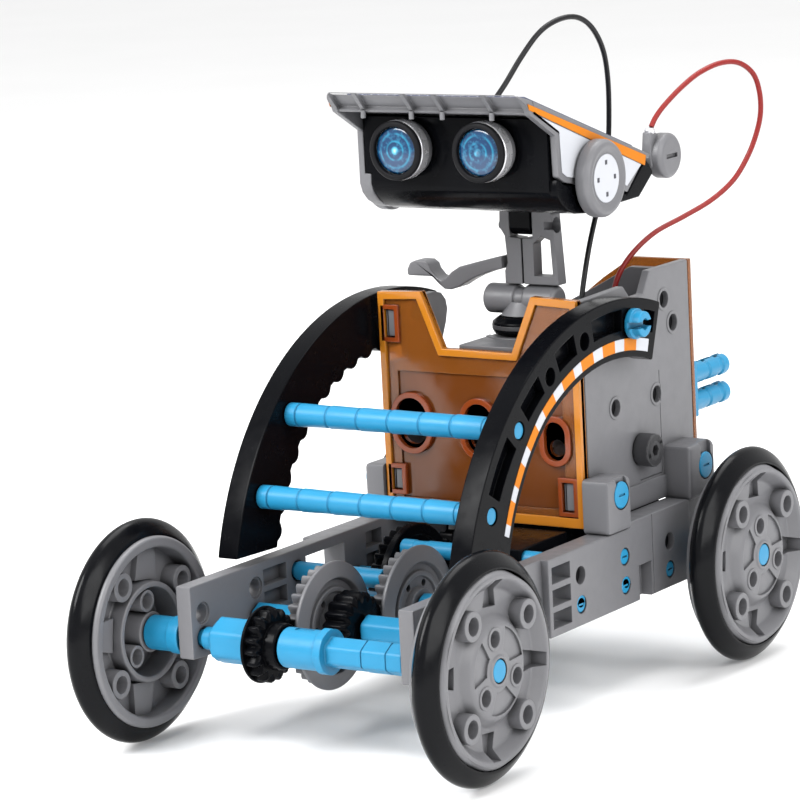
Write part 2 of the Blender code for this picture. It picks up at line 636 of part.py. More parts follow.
def head():
    tilt = (0, NECK_Y, TILT_Z)
    # Tray: visor, sloping roof and the two cheeks, open below.
    roof = [(63.8, 166.1), (69.3, 160.0), (71.2, 161.8), (128.6, 141.2), (129.2, 142.6)]
    base = prism("X", roof, -FAR_HALF, HEAD_HALF)
    cheek = [
        (66.4, 164.8), (68.4, 160.2), (80.4, 153.4), (80.8, 142.4), (84.0, 140.6), (90.4, 139.2),
        (114.4, 134.4), (116.4, 133.6), (127.6, 142.9),
    ]
    add = [prism("X", cheek, HEAD_HALF - 2.0, HEAD_HALF), prism("X", cheek, -FAR_HALF, 2.0 - FAR_HALF)]
    corner = [
        (79.5, 142.1), (79.5, 139.0), (81.6, 135.6), (86.5, 132.4), (95.0, 130.8), (97.0, 130.8), (97.0, 142.1),
    ]
    add.append(prism("X", corner, -FAR_HALF, 4.0 - FAR_HALF))
    piece("head_tray", "grey", base, add, pivot=tilt)

    # Case: open box under the tray, as wide as the tray below its cheeks, with two round
    # openings for the eyes.
    inner, far_inner = HEAD_HALF - 2.0 - GAP, FAR_HALF - 2.0 - GAP
    outline = [
        (79.5, 139.0), (79.5, 158.0), (128.0, 140.9), (131.4, 137.2), (123.2, 131.4), (95.0, 130.8),
        (86.5, 132.4), (81.6, 135.6),
    ]
    skirt = [
        (80.2, 139.6), (80.9, 141.8), (84.1, 140.1), (90.5, 138.7), (114.4, 133.9), (116.4, 133.1),
        (126.9, 141.2), (128.0, 140.9), (131.4, 137.2), (123.2, 131.4), (95.0, 130.8), (86.5, 132.4), (81.6, 135.6),
    ]
    hollow = [(81.5, 136.4), (81.5, 165.0), (126.0, 148.0), (126.0, 136.4), (121.0, 133.8), (88.0, 133.8)]
    tongue = [(NECK_Y - 2.5, 133.0), (NECK_Y - 2.5, TILT_Z)]
    tongue += [
        (NECK_Y - 2.5 * math.cos(a), TILT_Z - 2.5 * math.sin(a))
        for a in (math.pi * n / 8 for n in range(1, 8))
    ]
    tongue += [(NECK_Y + 2.5, TILT_Z), (NECK_Y + 2.5, 133.0)]
    back = [
        (97.6, 130.8), (97.6, 137.0), (114.4, 133.9), (116.4, 133.1), (126.9, 141.2), (128.0, 140.9), (131.4, 137.2),
        (123.2, 131.4),
    ]
    sides = [prism("X", skirt, inner - 1, HEAD_HALF - GAP), prism("X", back, GAP - FAR_HALF, 1 - far_inner)]
    corner = box(-FAR_HALF - 1, 4.0 - FAR_HALF + GAP, 70, 97.0 + GAP, 120, 142.1 + GAP)
    eye_holes = [rod("Y", s * EYE_X, EYE_Z, 5.1, 75, 90, 16) for s in (1, -1)]
    cut = [prism("X", hollow, -far_inner + 2, inner - 2), *eye_holes, corner]
    piece("head_case", "black", prism("X", outline, -far_inner, inner), sides, cut, pivot=tilt)
    obj = bpy.data.objects["head_case"]
    combine(obj, prism("X", tongue, -2.3, 4.3), "UNION")
    combine(obj, rod("X", NECK_Y, TILT_Z, 1.5, -6, 6, 12), "DIFFERENCE")

    # Solar panel in the roof's slope.
    slope = (142.6 - 166.1) / (129.2 - 63.8)
    height = lambda y, lift: 166.1 + (y - 63.8) * slope + lift
    cells = [(70, height(70, GAP)), (70, height(70, 1.5)), (126, height(126, 1.5)), (126, height(126, GAP))]
    piece("solar_panel", "cells", prism("X", cells, -27.4, 29.0), pivot=tilt)

    for name, side in (("left", 1), ("right", -1)):
        x = side * EYE_X
        barrel = turned("Y", x, EYE_Z, [
            (71.6, EYE_RADIUS), (77.6, EYE_RADIUS), (79.2, 7.4), (79.2, 4.7),
            (88.0, 4.7), (88.0, 3.4), (75.4, 3.4), (75.4, 6.7), (71.6, 6.7),
        ], 20, True)
        piece(f"eye_{name}", "silver", barrel, pivot=tilt)
        lens = turned("Y", x, EYE_Z, [(71.0, 3.4), (71.9, 6.4), (75.1, 6.4)], 20)
        piece(f"lens_{name}", "lens", lens, pivot=tilt)
        face = HEAD_HALF + GAP if side > 0 else -FAR_HALF - GAP
        steps = ((0, 9.6), (1.4, EAR_RADIUS), (3.4, EAR_RADIUS), (4.8, 9.0))
        ear = [(face + side * along, radius) for along, radius in steps]
        piece(f"ear_{name}", "grey", turned("X", EAR_Y, EAR_Z, ear, 24), pivot=tilt)

    knob = turned("X", 139.2, 140.8, [(27.2, 5.6), (28.0, 6.3), (31.4, 6.3), (32.4, 5.4)], 20)
    bracket_outline = [(132.4, 143.0), (132.4, 138.6), (136.0, 137.0), (138.4, 143.0), (136.6, 147.4), (133.2, 148.0)]
    bracket = prism("X", bracket_outline, 28.0, 31.0)
    piece("terminal_knob", "grey", knob, [bracket], pivot=tilt)


# Wires.


def smooth_route(points, spacing):
    """A Catmull-Rom curve through the points, read at even steps."""
    fine = []
    padded = [points[0], *points, points[-1]]
    for p0, p1, p2, p3 in zip(padded, padded[1:], padded[2:], padded[3:]):
        for i in range(40):
            t = i / 40
            fine.append(0.5 * (2 * p1 + (p2 - p0) * t + (2 * p0 - 5 * p1 + 4 * p2 - p3) * t * t
                               + (3 * p1 - p0 - 3 * p2 + p3) * t**3))
    fine.append(points[-1])
    route = [fine[0]]
    travelled = 0.0
    for before, after in zip(fine, fine[1:]):
        travelled += (after - before).length
        if travelled >= spacing:
            route.append(after)
            travelled = 0.0
    if (route[-1] - fine[-1]).length < spacing / 2:
        route.pop()
    return [*route, fine[-1]]


WIRE_RADIUS = 0.75
WIRES = {
    "black_wire": (
        (10.4, 84.6, 161.1), (11.2, 86.2, 163.0), (12.4, 89.2, 166.4), (14.7, 93.5, 172.6), (17.1, 98.5, 178.3),
        (18.8, 104.0, 181.1), (20.2, 110.5, 181.9), (21.1, 116.0, 180.5), (21.2, 121.5, 176.8), (20.4, 127.2, 170.5),
        (18.4, 132.2, 161.8), (16.4, 135.2, 151.0), (15.5, 135.3, 142.4), (15.2, 132.5, 133.0), (15.2, 128.0, 125.1),
        (15.6, 123.5, 118.0), (16.0, 119.6, 110.5), (16.0, 117.0, 102.5), (16.0, 116.0, 94.6),
    ),
    "red_wire": (
        (30.0, 134.9, 149.2), (30.4, 136.8, 151.6), (31.4, 140.2, 154.6), (33.4, 146.2, 158.8), (35.7, 152.8, 162.3),
        (38.2, 160.4, 164.2), (40.4, 167.0, 163.6), (41.9, 172.4, 160.0), (42.1, 175.4, 154.6), (41.5, 176.8, 148.6),
        (40.2, 176.6, 143.0), (38.2, 174.8, 136.6), (35.6, 170.4, 130.0), (32.1, 163.5, 125.1), (27.6, 155.4, 121.4),
        (23.2, 147.0, 118.1), (20.0, 140.4, 113.6), (17.8, 135.8, 108.4), (16.6, 133.6, 102.6), (16.0, 133.0, 94.6),
    ),
}


def wires():
    for name, route in WIRES.items():
        points = smooth_route([place(*p) for p in route], 3.9 * MM)
        curve = bpy.data.curves.new(name, "CURVE")
        curve.dimensions = "3D"
        curve.bevel_depth = WIRE_RADIUS * MM
        curve.bevel_resolution = 2
        curve.use_fill_caps = True
        spline = curve.splines.new("POLY")
        spline.points.add(len(points) - 1)
        for at, co in zip(spline.points, points):
            at.co = (*co, 1.0)
        obj = bpy.data.objects.new(name, curve)
        bpy.context.scene.collection.objects.link(obj)
        curve.materials.append(material("wire_black" if name == "black_wire" else "wire_red"))


def main():
    clear_scene()
    fifth = running_gear()
    gearbox(fifth)
    chassis()
    housing()
    fenders()
    neck()
    head()
    wires()


main()
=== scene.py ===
"""Looks of the four-wheel robot car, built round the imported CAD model.

Lengths are in millimetres, x from the mid plane, y backwards from the front axle and z up from
the floor, as the car is drawn. place() turns them into the frame's metres.
"""

from math import asin, cos, degrees, pi, radians, sin

import bmesh
import bpy
from mathutils import Matrix, Vector


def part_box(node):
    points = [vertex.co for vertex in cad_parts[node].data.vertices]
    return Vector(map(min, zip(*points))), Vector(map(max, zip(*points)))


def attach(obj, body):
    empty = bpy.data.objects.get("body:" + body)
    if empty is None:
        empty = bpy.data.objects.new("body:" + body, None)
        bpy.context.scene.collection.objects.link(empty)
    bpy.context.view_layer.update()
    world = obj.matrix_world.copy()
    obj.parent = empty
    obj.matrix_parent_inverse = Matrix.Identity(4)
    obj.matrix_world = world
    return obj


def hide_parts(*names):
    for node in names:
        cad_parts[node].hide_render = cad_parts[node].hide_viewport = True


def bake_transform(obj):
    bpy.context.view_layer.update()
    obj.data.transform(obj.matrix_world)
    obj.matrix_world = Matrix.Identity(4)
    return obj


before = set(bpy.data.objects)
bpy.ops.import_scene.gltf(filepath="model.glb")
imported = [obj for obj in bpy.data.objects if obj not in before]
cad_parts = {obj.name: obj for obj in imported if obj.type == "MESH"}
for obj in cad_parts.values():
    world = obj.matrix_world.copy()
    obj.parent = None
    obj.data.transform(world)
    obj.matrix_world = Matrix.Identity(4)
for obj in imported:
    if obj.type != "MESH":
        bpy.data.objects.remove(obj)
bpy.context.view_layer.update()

MM = 0.001
GAP = 0.3
SKIN = 0.12  # how far a sticker stands proud of its face
SMOOTH_ANGLE, WIRE_SMOOTH_ANGLE = 40, 50
SIDES = (("left", 1), ("right", -1))


def middle_of(node):
    low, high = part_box(node)
    return (low + high) / 2


def size_of(node):
    low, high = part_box(node)
    return high - low


# The frame's own measures.
CENTRE_Y = -middle_of("front_axle").y / MM
AXLE_Z = middle_of("front_axle").z / MM
REAR_Y = middle_of("rear_axle").y / MM + CENTRE_Y
HALF_TRACK = middle_of("tyre_front_left").x / MM
WHEEL_RADIUS = size_of("tyre_front_left").z / MM / 2
RIM_RADIUS = size_of("wheel_front_left").z / MM / 2

PEG = 2.2
HOLE = PEG + GAP
PITCH = 8
BEAM_IN, BEAM_OUT, RAIL_OUT = 32.5, 37.2, 39.5
BEAM_FRONT, RAIL_FRONT, RAIL_BACK = -5, 56, 131.5
BEAM_LOW, BEAM_TOP = 23.2, 44.5
STEP_FRONT, STEP_BACK = 98.9, 130.7
RAIL_TOP, BACK_TOP = 45.9, 45.2
ROW_HIGH, ROW_LOW = AXLE_Z + PITCH, AXLE_Z
GEAR_STEP = 3 * PITCH
PINION_TEETH, CROWN_TEETH, FLANGE_RADIUS = 18, 30, 17.2
WALL_IN, WALL_OUT = 29.5, 32
HOUSE_FRONT, HOUSE_BACK = 90.8, 148.6
HOUSE_LOW, HOUSE_TOP = 45.6, 107.6
PANEL_FRONT, PANEL_BACK = 87.5, 90.5
ARC_Y, ARC_Z = 94, 28.5
ARC_OUTER, ARC_INNER, ARC_HOLES = 79, 62.9, 72
ARC_IN, ARC_OUT = 33.2, 39.5
ARC_END, ARC_FOOT = radians(71), 47
BAR_ANGLES = {"upper": radians(132.9), "lower": radians(152.6)}
ARC_PIN_ANGLE = radians(82.5)
ARC_SPARE_ANGLES = [radians(101.9), radians(117.1)]
NECK_Y, KNUCKLE_Z, TILT_Z = 113, 103.3, 124
EYE_X, EYE_Z, EYE_RADIUS = 13.2, 149.5, 8.2
LENS_RADIUS = 6.4
CORNER_RADIUS = 4.2  # of the visor
# How far the painted shade in crevices reaches.
CREVICE_SHADE_REACH = 3
HEAD_HALF, FAR_HALF = 32.6, 30.4
EAR_Y, EAR_Z, EAR_RADIUS = 98, 140, 10.5
ROOF_FRONT, ROOF_BACK = (63.8, 166.1), (129.2, 142.6)
OUTPUT_Y = middle_of("output_shaft").y / MM + CENTRE_Y
OUTPUT_Z = middle_of("output_shaft").z / MM
TIE_FRONT, TIE_BACK = (93.4, 54.6), (139.9, 53.9)
RAIL_HOLES = [(72, 37), (119.7, 36.2)]
RAIL_PINS = [(72, 29), (95.5, 37), (95.5, 29), (119.7, 28.3)]
PANEL_HOLES = [(134.3, 101.3), (138.8, 94.1), (128.4, 75.6), (106, 75.7)]
KNOB = (139.2, 140.8)
WIRE_X, WIRE_HOLES = 16, (116, 133)


def place(x, y, z):
    return Vector((x, y - CENTRE_Y, z)) * MM


# Shapes, as bmeshes in metres.


def point(axis, a, b, along):
    if axis == "X":
        return place(along, a, b)
    if axis == "Y":
        return place(a, along, b)
    return place(a, b, along)


def skinned(rings, closed=False):
    """Faces between rings of points, with flat ends unless the last ring meets the first."""
    bm = bmesh.new()
    loops = [[bm.verts.new(co) for co in ring] for ring in rings]
    pairs = list(zip(loops, loops[1:]))
    if closed:
        pairs.append((loops[-1], loops[0]))
    else:
        bm.faces.new(loops[0])
        bm.faces.new(loops[-1])
    for low, high in pairs:
        for i in range(len(low)):
            j = (i + 1) % len(low)
            bm.faces.new((low[i], low[j], high[j], high[i]))
    bmesh.ops.recalc_face_normals(bm, faces=bm.faces)
    return bm


def rounded(bm, radius, segments=2, above=35):
    """Every edge sharper than this many degrees, rounded off."""
    sharp = [e for e in bm.edges if e.calc_face_angle(0) > radians(above)]
    bmesh.ops.bevel(
        bm, geom=sharp, offset=radius * MM, segments=segments, profile=0.5, affect="EDGES", clamp_overlap=True
    )
    bmesh.ops.recalc_face_normals(bm, faces=bm.faces)
    return bm


def prism(axis, outline, low, high, edge=0):
    bm = skinned([[point(axis, a, b, end) for a, b in outline] for end in (low, high)])
    return rounded(bm, edge) if edge else bm


def box(x0, x1, y0, y1, z0, z1, edge=0):
    return prism("Z", [(x0, y0), (x1, y0), (x1, y1), (x0, y1)], z0, z1, edge)


def round_outline(a, b, radius, sides, phase=0):
    turn = 2 * pi / sides
    return [
        (a + radius * cos(phase + i * turn), b + radius * sin(phase + i * turn))
        for i in range(sides)
    ]


def rod(axis, a, b, radius, low, high, sides=32, edge=0):
    return prism(axis, round_outline(a, b, radius, sides), low, high, edge)


def turned(axis, a, b, profile, sides=64, closed=False, ripple=None):
    """A profile of (along, radius) points turned round the axis. ripple(angle, radius, along) changes a radius."""
    rings = []
    for along, radius in profile:
        ring = []
        for i in range(sides):
            angle = 2 * pi * i / sides
            r = ripple(angle, radius, along) if ripple else radius
            ring.append(point(axis, a + r * cos(angle), b + r * sin(angle), along))
        rings.append(ring)
    return skinned(rings, closed)


def on_axle(y, *rest):
    return turned("X", y, AXLE_Z, *rest)


def bore(y, radius, low, high):
    return rod("X", y, AXLE_Z, radius, low, high, 24)


def softened(profile, radius=0.35, steps=3):
    """A turned profile with its corners rounded."""
    made = [profile[0]]
    for before, corner, after in zip(profile, profile[1:], profile[2:]):
        corner, into, out = Vector(corner), Vector(before) - Vector(corner), Vector(after) - Vector(corner)
        reach = min(radius, into.length * 0.45, out.length * 0.45)
        if reach < 0.02:
            made.append(tuple(corner))
            continue
        start, end = corner + into.normalized() * reach, corner + out.normalized() * reach
        for n in range(steps + 1):
            t = n / steps
            made.append(tuple((1 - t) ** 2 * start + 2 * t * (1 - t) * corner + t * t * end))
    return [*made, profile[-1]]


def shaft_profile(steps):
    """Radii along a shaft: each step is (end, radius), from the near end onwards."""
    profile = []
    at = steps[0]
    for end, radius in steps[1:]:
        profile += [(at, radius), (end, radius)]
        at = end
    return profile


def capped(profile, radius=0.35):
    """A shaft's profile with rounded corners, its two end faces included."""
    ends = [(profile[0][0], 0.05), *profile, (profile[-1][0], 0.05)]
    return softened(ends, radius)


def ringed(axis, a, b, corners, radius, sides=64):
    """A ring with rounded corners."""
    return turned(axis, a, b, softened([*corners, corners[0]], radius)[:-1], sides, True)


def sided(side, low, high):
    return (low, high) if side > 0 else (-high, -low)


def shapes_on(side):
    """prism, rod and box along X, as if on the left side. They are mirrored for the right one."""
    def plate(outline, low, high, edge=0):
        return prism("X", outline, *sided(side, low, high), edge)

    def hole(y, z, radius, low, high, sides=24, edge=0):
        return rod("X", y, z, radius, *sided(side, low, high), sides, edge)

    def block(low, high, *rest):
        return box(*sided(side, low, high), *rest)

    return plate, hole, block


def arc_point(angle, radius=ARC_HOLES):
    return ARC_Y + radius * cos(angle), ARC_Z + radius * sin(angle)


def arc_inner(angle):
    """The arc's inner radius, which shrinks towards its foot."""
    return ARC_INNER - 2.4 * max(0, degrees(angle) - 125) / 30


def temporary(bm):
    return linked("tool", mesh_of("tool", bm))


def joined(shapes):
    """Shapes that don't touch, in one bmesh."""
    whole = bmesh.new()
    for bm in shapes:
        mesh = mesh_of("joined", bm)
        whole.from_mesh(mesh)
        bpy.data.meshes.remove(mesh)
    return whole


def carved(base, add=(), cut=()):
    """base with each shape in add joined on and each shape in cut taken off."""
    obj = temporary(base)
    tools = []
    for shapes, operation in ((add, "UNION"), (cut, "DIFFERENCE")):
        for bm in shapes:
            tool = temporary(bm)
            tools.append(tool)
            modifier = obj.modifiers.new(operation.title(), "BOOLEAN")
            modifier.operation = operation
            modifier.solver = "EXACT"
            modifier.object = tool
    graph = bpy.context.evaluated_depsgraph_get()
    mesh = bpy.data.meshes.new_from_object(obj.evaluated_get(graph))
    bm = bmesh.new()
    bm.from_mesh(mesh)
    for used in (obj, *tools):
        data = used.data
        bpy.data.objects.remove(used)
        bpy.data.meshes.remove(data)
    bpy.data.meshes.remove(mesh)
    return bm


def linked(name, data):
    obj = bpy.data.objects.new(name, data)
    bpy.context.scene.collection.objects.link(obj)
    return obj


def mesh_of(name, bm):
    mesh = bpy.data.meshes.new(name)
    bm.to_mesh(mesh)
    bm.free()
    return mesh


def smoothed(mesh, angle):
    mesh.shade_smooth()
    mesh.set_sharp_from_angle(angle=radians(angle))


def show(name, bm, looks, body="chassis", stands_for=()):
    """A visible piece that rides on a body. looks is a material, or a list that faces point into."""
    bmesh.ops.remove_doubles(bm, verts=bm.verts, dist=1e-7)
    mesh = mesh_of(name, bm)
    smoothed(mesh, SMOOTH_ANGLE)
    obj = linked(name, mesh)
    # Flat faces stay flat beside their rounded edges.
    weighted = obj.modifiers.new("weighted", "WEIGHTED_NORMAL")
    weighted.keep_sharp = True
    graph = bpy.context.evaluated_depsgraph_get()
    obj.data = bpy.data.meshes.new_from_object(obj.evaluated_get(graph))
    obj.modifiers.remove(weighted)
    bpy.data.meshes.remove(mesh)
    obj.data.name = name
    looks = looks if isinstance(looks, list) else [looks]
    for look in looks:
        obj.data.materials.append(look)
    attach(obj, body)
    if stands_for:
        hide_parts(*stands_for)


def mould(node, bm, look, body="chassis"):
    """The piece that stands for a whole node."""
    show(f"{node}_moulding", bm, look, body, [node])


# Materials.


EDGE = 0.3
MOTTLING = 0.06
# The Mix node's sockets for colours.
COLOUR_A, COLOUR_B, COLOUR_OUT = 6, 7, 2


def feed(tree, node, inputs):
    """Each input takes a value, or a link from another node's output."""
    for key, value in inputs.items():
        if isinstance(value, bpy.types.NodeSocket):
            tree.links.new(value, node.inputs[key])
        else:
            node.inputs[key].default_value = value


def add_node(tree, kind, inputs=None, **settings):
    node = tree.nodes.new(f"ShaderNode{kind}")
    for key, value in settings.items():
        setattr(node, key, value)
    feed(tree, node, inputs or {})
    return node


def shader_of(name, slot=None):
    look = bpy.data.materials.new(name)
    slot or name
    look.use_nodes = True
    tree = look.node_tree
    tree.nodes.clear()
    shader = add_node(tree, "BsdfPrincipled")
    add_node(tree, "OutputMaterial", {"Surface": shader.outputs["BSDF"]})
    return look, tree, shader


def noise(tree, scale, detail=3):
    coords = add_node(tree, "TexCoord").outputs["Object"]
    return add_node(tree, "TexNoise", {"Vector": coords, "Scale": scale, "Detail": detail}).outputs["Fac"]


def spread(tree, value, low, high, span=(0.3, 0.7)):
    """value between span's ends, mapped to low and high."""
    ends = {"Value": value, "From Min": span[0], "From Max": span[1], "To Min": low, "To Max": high}
    return add_node(tree, "MapRange", ends).outputs["Result"]


def mix(tree, factor, first, second):
    """A colour between two, each a colour or a socket."""
    first, second = ((*end, 1) if isinstance(end, tuple) else end for end in (first, second))
    inputs = {"Factor": factor, COLOUR_A: first, COLOUR_B: second}
    return add_node(tree, "Mix", inputs, data_type="RGBA").outputs[COLOUR_OUT]


def shaded(colour, share):
    return tuple(min(1, c * share) for c in colour)


def edge_mask(tree, bevel):
    """1 where the rounded normal leans away from the flat one, which is along sharp edges."""
    flat = add_node(tree, "NewGeometry").outputs["Normal"]
    dot = add_node(tree, "VectorMath", {0: bevel.outputs["Normal"], 1: flat}, operation="DOT_PRODUCT")
    return spread(tree, dot.outputs["Value"], 1, 0, (0.8, 1))


def moulded(
    name, colour, roughness, slot=None, grain=0.15, grain_size=2500, edge_lightening=0.25, metallic=0, transmission=0, gloss=0.5,
    crevice_shade=0.75, ior=1.49,
):
    """Moulded plastic: slow mottling, fine grain, painted shade darkening crevices, softened and slightly lighter
    edges.
    """
    look, tree, shader = shader_of(name, slot)
    bevel = add_node(tree, "Bevel", {"Radius": EDGE * MM}, samples=4)
    base = mix(tree, noise(tree, 70), shaded(colour, 1 - MOTTLING), shaded(colour, 1 + MOTTLING))
    # Rounded edges are painted a lighter tone.
    light = tuple(0.1 + 0.9 * c for c in colour)
    lighter_edges = add_node(tree, "Math", {0: edge_mask(tree, bevel), 1: edge_lightening}, operation="MULTIPLY").outputs["Value"]
    # Painted shade: ambient occlusion darkens the colour in crevices and recesses.
    occlusion = add_node(tree, "AmbientOcclusion", {"Distance": CREVICE_SHADE_REACH * MM}, samples=6).outputs["AO"]
    unshaded_share = spread(tree, occlusion, 0, 1, (0.15, 0.85))
    bump = add_node(tree, "Bump", {
        "Strength": grain, "Distance": 0.05 * MM, "Height": noise(tree, grain_size, 2),
        "Normal": bevel.outputs["Normal"],
    })
    feed(tree, shader, {
        "Base Color": mix(tree, unshaded_share, shaded(colour, 1 - crevice_shade), mix(tree, lighter_edges, base, light)),
        "Roughness": spread(tree, noise(tree, 260, 4), roughness - 0.06, roughness + 0.08),
        "Normal": bump.outputs["Normal"], "Metallic": metallic, "Specular IOR Level": gloss,
        "Transmission Weight": transmission, "IOR": ior,
    })
    return look


def lens_look(name, x):
    """Rings of deep and bright blue round the middle of an eye, broken up by noise, with a painted highlight at the
    middle, painted glints and a faint painted glow.
    """
    look, tree, shader = shader_of(name, "blue_lens")
    centre = place(x, 0, EYE_Z)
    coords = add_node(tree, "TexCoord").outputs["Object"]
    moved = add_node(tree, "Mapping", {"Vector": coords, "Location": (-centre.x, 0, -centre.z)})
    flat = add_node(tree, "VectorMath", {0: moved.outputs["Vector"], 1: (1, 0, 1)}, operation="MULTIPLY")
    length = add_node(tree, "VectorMath", {0: flat.outputs["Vector"]}, operation="LENGTH")
    distance = spread(tree, length.outputs["Value"], 0, 1, (0, LENS_RADIUS * MM))
    ramp = add_node(tree, "ValToRGB", {"Fac": distance})
    deep, dark = (0.002, 0.03, 0.09), (0.002, 0.025, 0.08)
    # The two first stops, light blue at the middle, are a painted highlight.
    stops = (
        (0, (0.5, 0.85, 1)), (0.1, (0.1, 0.45, 0.65)), (0.2, (0.004, 0.04, 0.1)), (0.34, dark),
        (0.4, (0.01, 0.17, 0.28)), (0.47, deep), (0.66, dark), (0.72, (0.01, 0.16, 0.27)),
        (0.8, deep), (1, (0.001, 0.01, 0.03)),
    )
    while len(ramp.color_ramp.elements) < len(stops):
        ramp.color_ramp.elements.new(0.5)
    for element, (at, colour) in zip(ramp.color_ramp.elements, stops):
        element.position = at
        element.color = (*colour, 1)
    broken = spread(tree, noise(tree, 260, 2), 0, 0.85, (0.46, 0.6))
    # Specks of lighter blue are painted glints.
    painted_glints = spread(tree, noise(tree, 900, 5), 0, 0.3, (0.5, 0.75))
    colour = mix(tree, painted_glints, mix(tree, broken, ramp.outputs["Color"], deep), (0.05, 0.35, 0.55))
    # The faint emission is a painted glow.
    feed(tree, shader, {
        "Base Color": colour, "Emission Color": colour, "Emission Strength": 0.05,
        "Roughness": 0.1, "Coat Weight": 0.15,
    })
    return look


def solar_look():
    """Dark cells with thin silver fingers across them."""
    look, tree, shader = shader_of("solar_cells", "solar_cell")
    coords = add_node(tree, "TexCoord").outputs["Object"]
    lines = add_node(tree, "TexWave", {"Scale": 120, "Vector": coords}, bands_direction="X")
    thin = spread(tree, lines.outputs["Fac"], 0, 0.5, (0.93, 1))
    cell = mix(tree, noise(tree, 160, 4), (0.006, 0.01, 0.045), (0.012, 0.025, 0.1))
    feed(tree, shader, {
        "Base Color": mix(tree, thin, cell, (0.35, 0.37, 0.42)),
        "Roughness": spread(tree, noise(tree, 300), 0.1, 0.2), "Coat Weight": 0.6,
    })
    return look


CLEAR = {"slot": "clear_orange", "grain": 0.03, "gloss": 0.35}
PRINTED = {"roughness": 0.4, "grain": 0.05, "edge_lightening": 0}

GREY = moulded("grey_plastic", (0.12, 0.12, 0.128), 0.42, grain=0.2, crevice_shade=0.8)
DARK_GREY = moulded("dark_grey_plastic", (0.035, 0.035, 0.038), 0.42, gloss=0.3)
BLUE = moulded("blue_plastic", (0.014, 0.2, 0.37), 0.36, grain=0.1, edge_lightening=0.2, gloss=0.3, crevice_shade=0.7)
BLACK = moulded("black_plastic", (0.002, 0.0022, 0.003), 0.22, grain=0.08, edge_lightening=0.03, gloss=0.25, ior=1.2)
BEZEL = moulded("black_bezel", (0.006, 0.006, 0.007), 0.5, "black_plastic", grain=0.1, edge_lightening=0.03, gloss=0.1)
TYRE = moulded("tyre_rubber", (0.002, 0.0022, 0.003), 0.2, grain=0.1, grain_size=1200, edge_lightening=0, gloss=0.3, ior=1.28)
ORANGE = moulded("clear_orange", (0.42, 0.13, 0.02), 0.12, edge_lightening=0.3, transmission=0.65, **CLEAR)
# The pane's darker copy of the clear orange: painted shade of the dark inside behind it.
ORANGE_PAINTED_SHADE = moulded("orange_painted_shade", (0.16, 0.045, 0.008), 0.12, edge_lightening=0, transmission=0.3, **CLEAR)
# The rim's brighter copy of the clear orange: painted light along the panel's edges.
ORANGE_LIT_RIM = moulded("orange_rim_painted_light", (0.7, 0.25, 0.02), 0.12, edge_lightening=0.35, transmission=0.4, **CLEAR)
ORANGE_RED = moulded("orange_boss", (0.38, 0.07, 0.012), 0.14, edge_lightening=0.35, transmission=0.5, **CLEAR)
SILVER = moulded(
    "silver_plate", (0.6, 0.6, 0.62), 0.25, "silver_plastic", metallic=0.65, edge_lightening=0.1, grain=0.05, crevice_shade=0.4
)
STEEL = moulded("motor_steel", (0.5, 0.5, 0.51), 0.3, metallic=1, edge_lightening=0.1)
BRASS = moulded("brass", (0.7, 0.45, 0.13), 0.28, metallic=1, edge_lightening=0.2)
WHITE = moulded("white_plastic", (0.6, 0.59, 0.55), 0.4)
STICKER_WHITE = moulded("sticker_white", (0.44, 0.45, 0.48), slot="white_plastic", gloss=0.15, crevice_shade=0.4, **PRINTED)
STICKER_ORANGE = moulded("sticker_orange", (0.5, 0.15, 0.003), slot="clear_orange", gloss=0.12, crevice_shade=0.4, **PRINTED)
STICKER_INK = moulded("sticker_ink", (0.05, 0.05, 0.06), slot="dark_grey_plastic", gloss=0.3, **PRINTED)
WIRE_BLACK = moulded("wire_black", (0.005, 0.005, 0.006), 0.38, grain=0.3, edge_lightening=0, gloss=0.25, crevice_shade=0.2)
WIRE_RED = moulded("wire_red", (0.2, 0.01, 0.008), 0.4, grain=0.3, edge_lightening=0, gloss=0.3, crevice_shade=0.2)
# Near-black for discs painted as the shadow at the floors of holes.
HOLE_SHADE = moulded("shaded_inside", (0.008, 0.008, 0.009), 0.6, "dark_grey_plastic", edge_lightening=0, gloss=0.1)


# Wheels.

STUD_CIRCLE, STUD_RADIUS, STUD_HOLE = 18.1, 3.9, 2.4
DISC_CIRCLE, DISC_RADIUS, DISC_HOLE = 8.6, 3, 2.2
WHEEL_TURNS = {"front_left": -5.6, "front_right": -7.5, "rear_left": -4.8, "rear_right": -4.8}


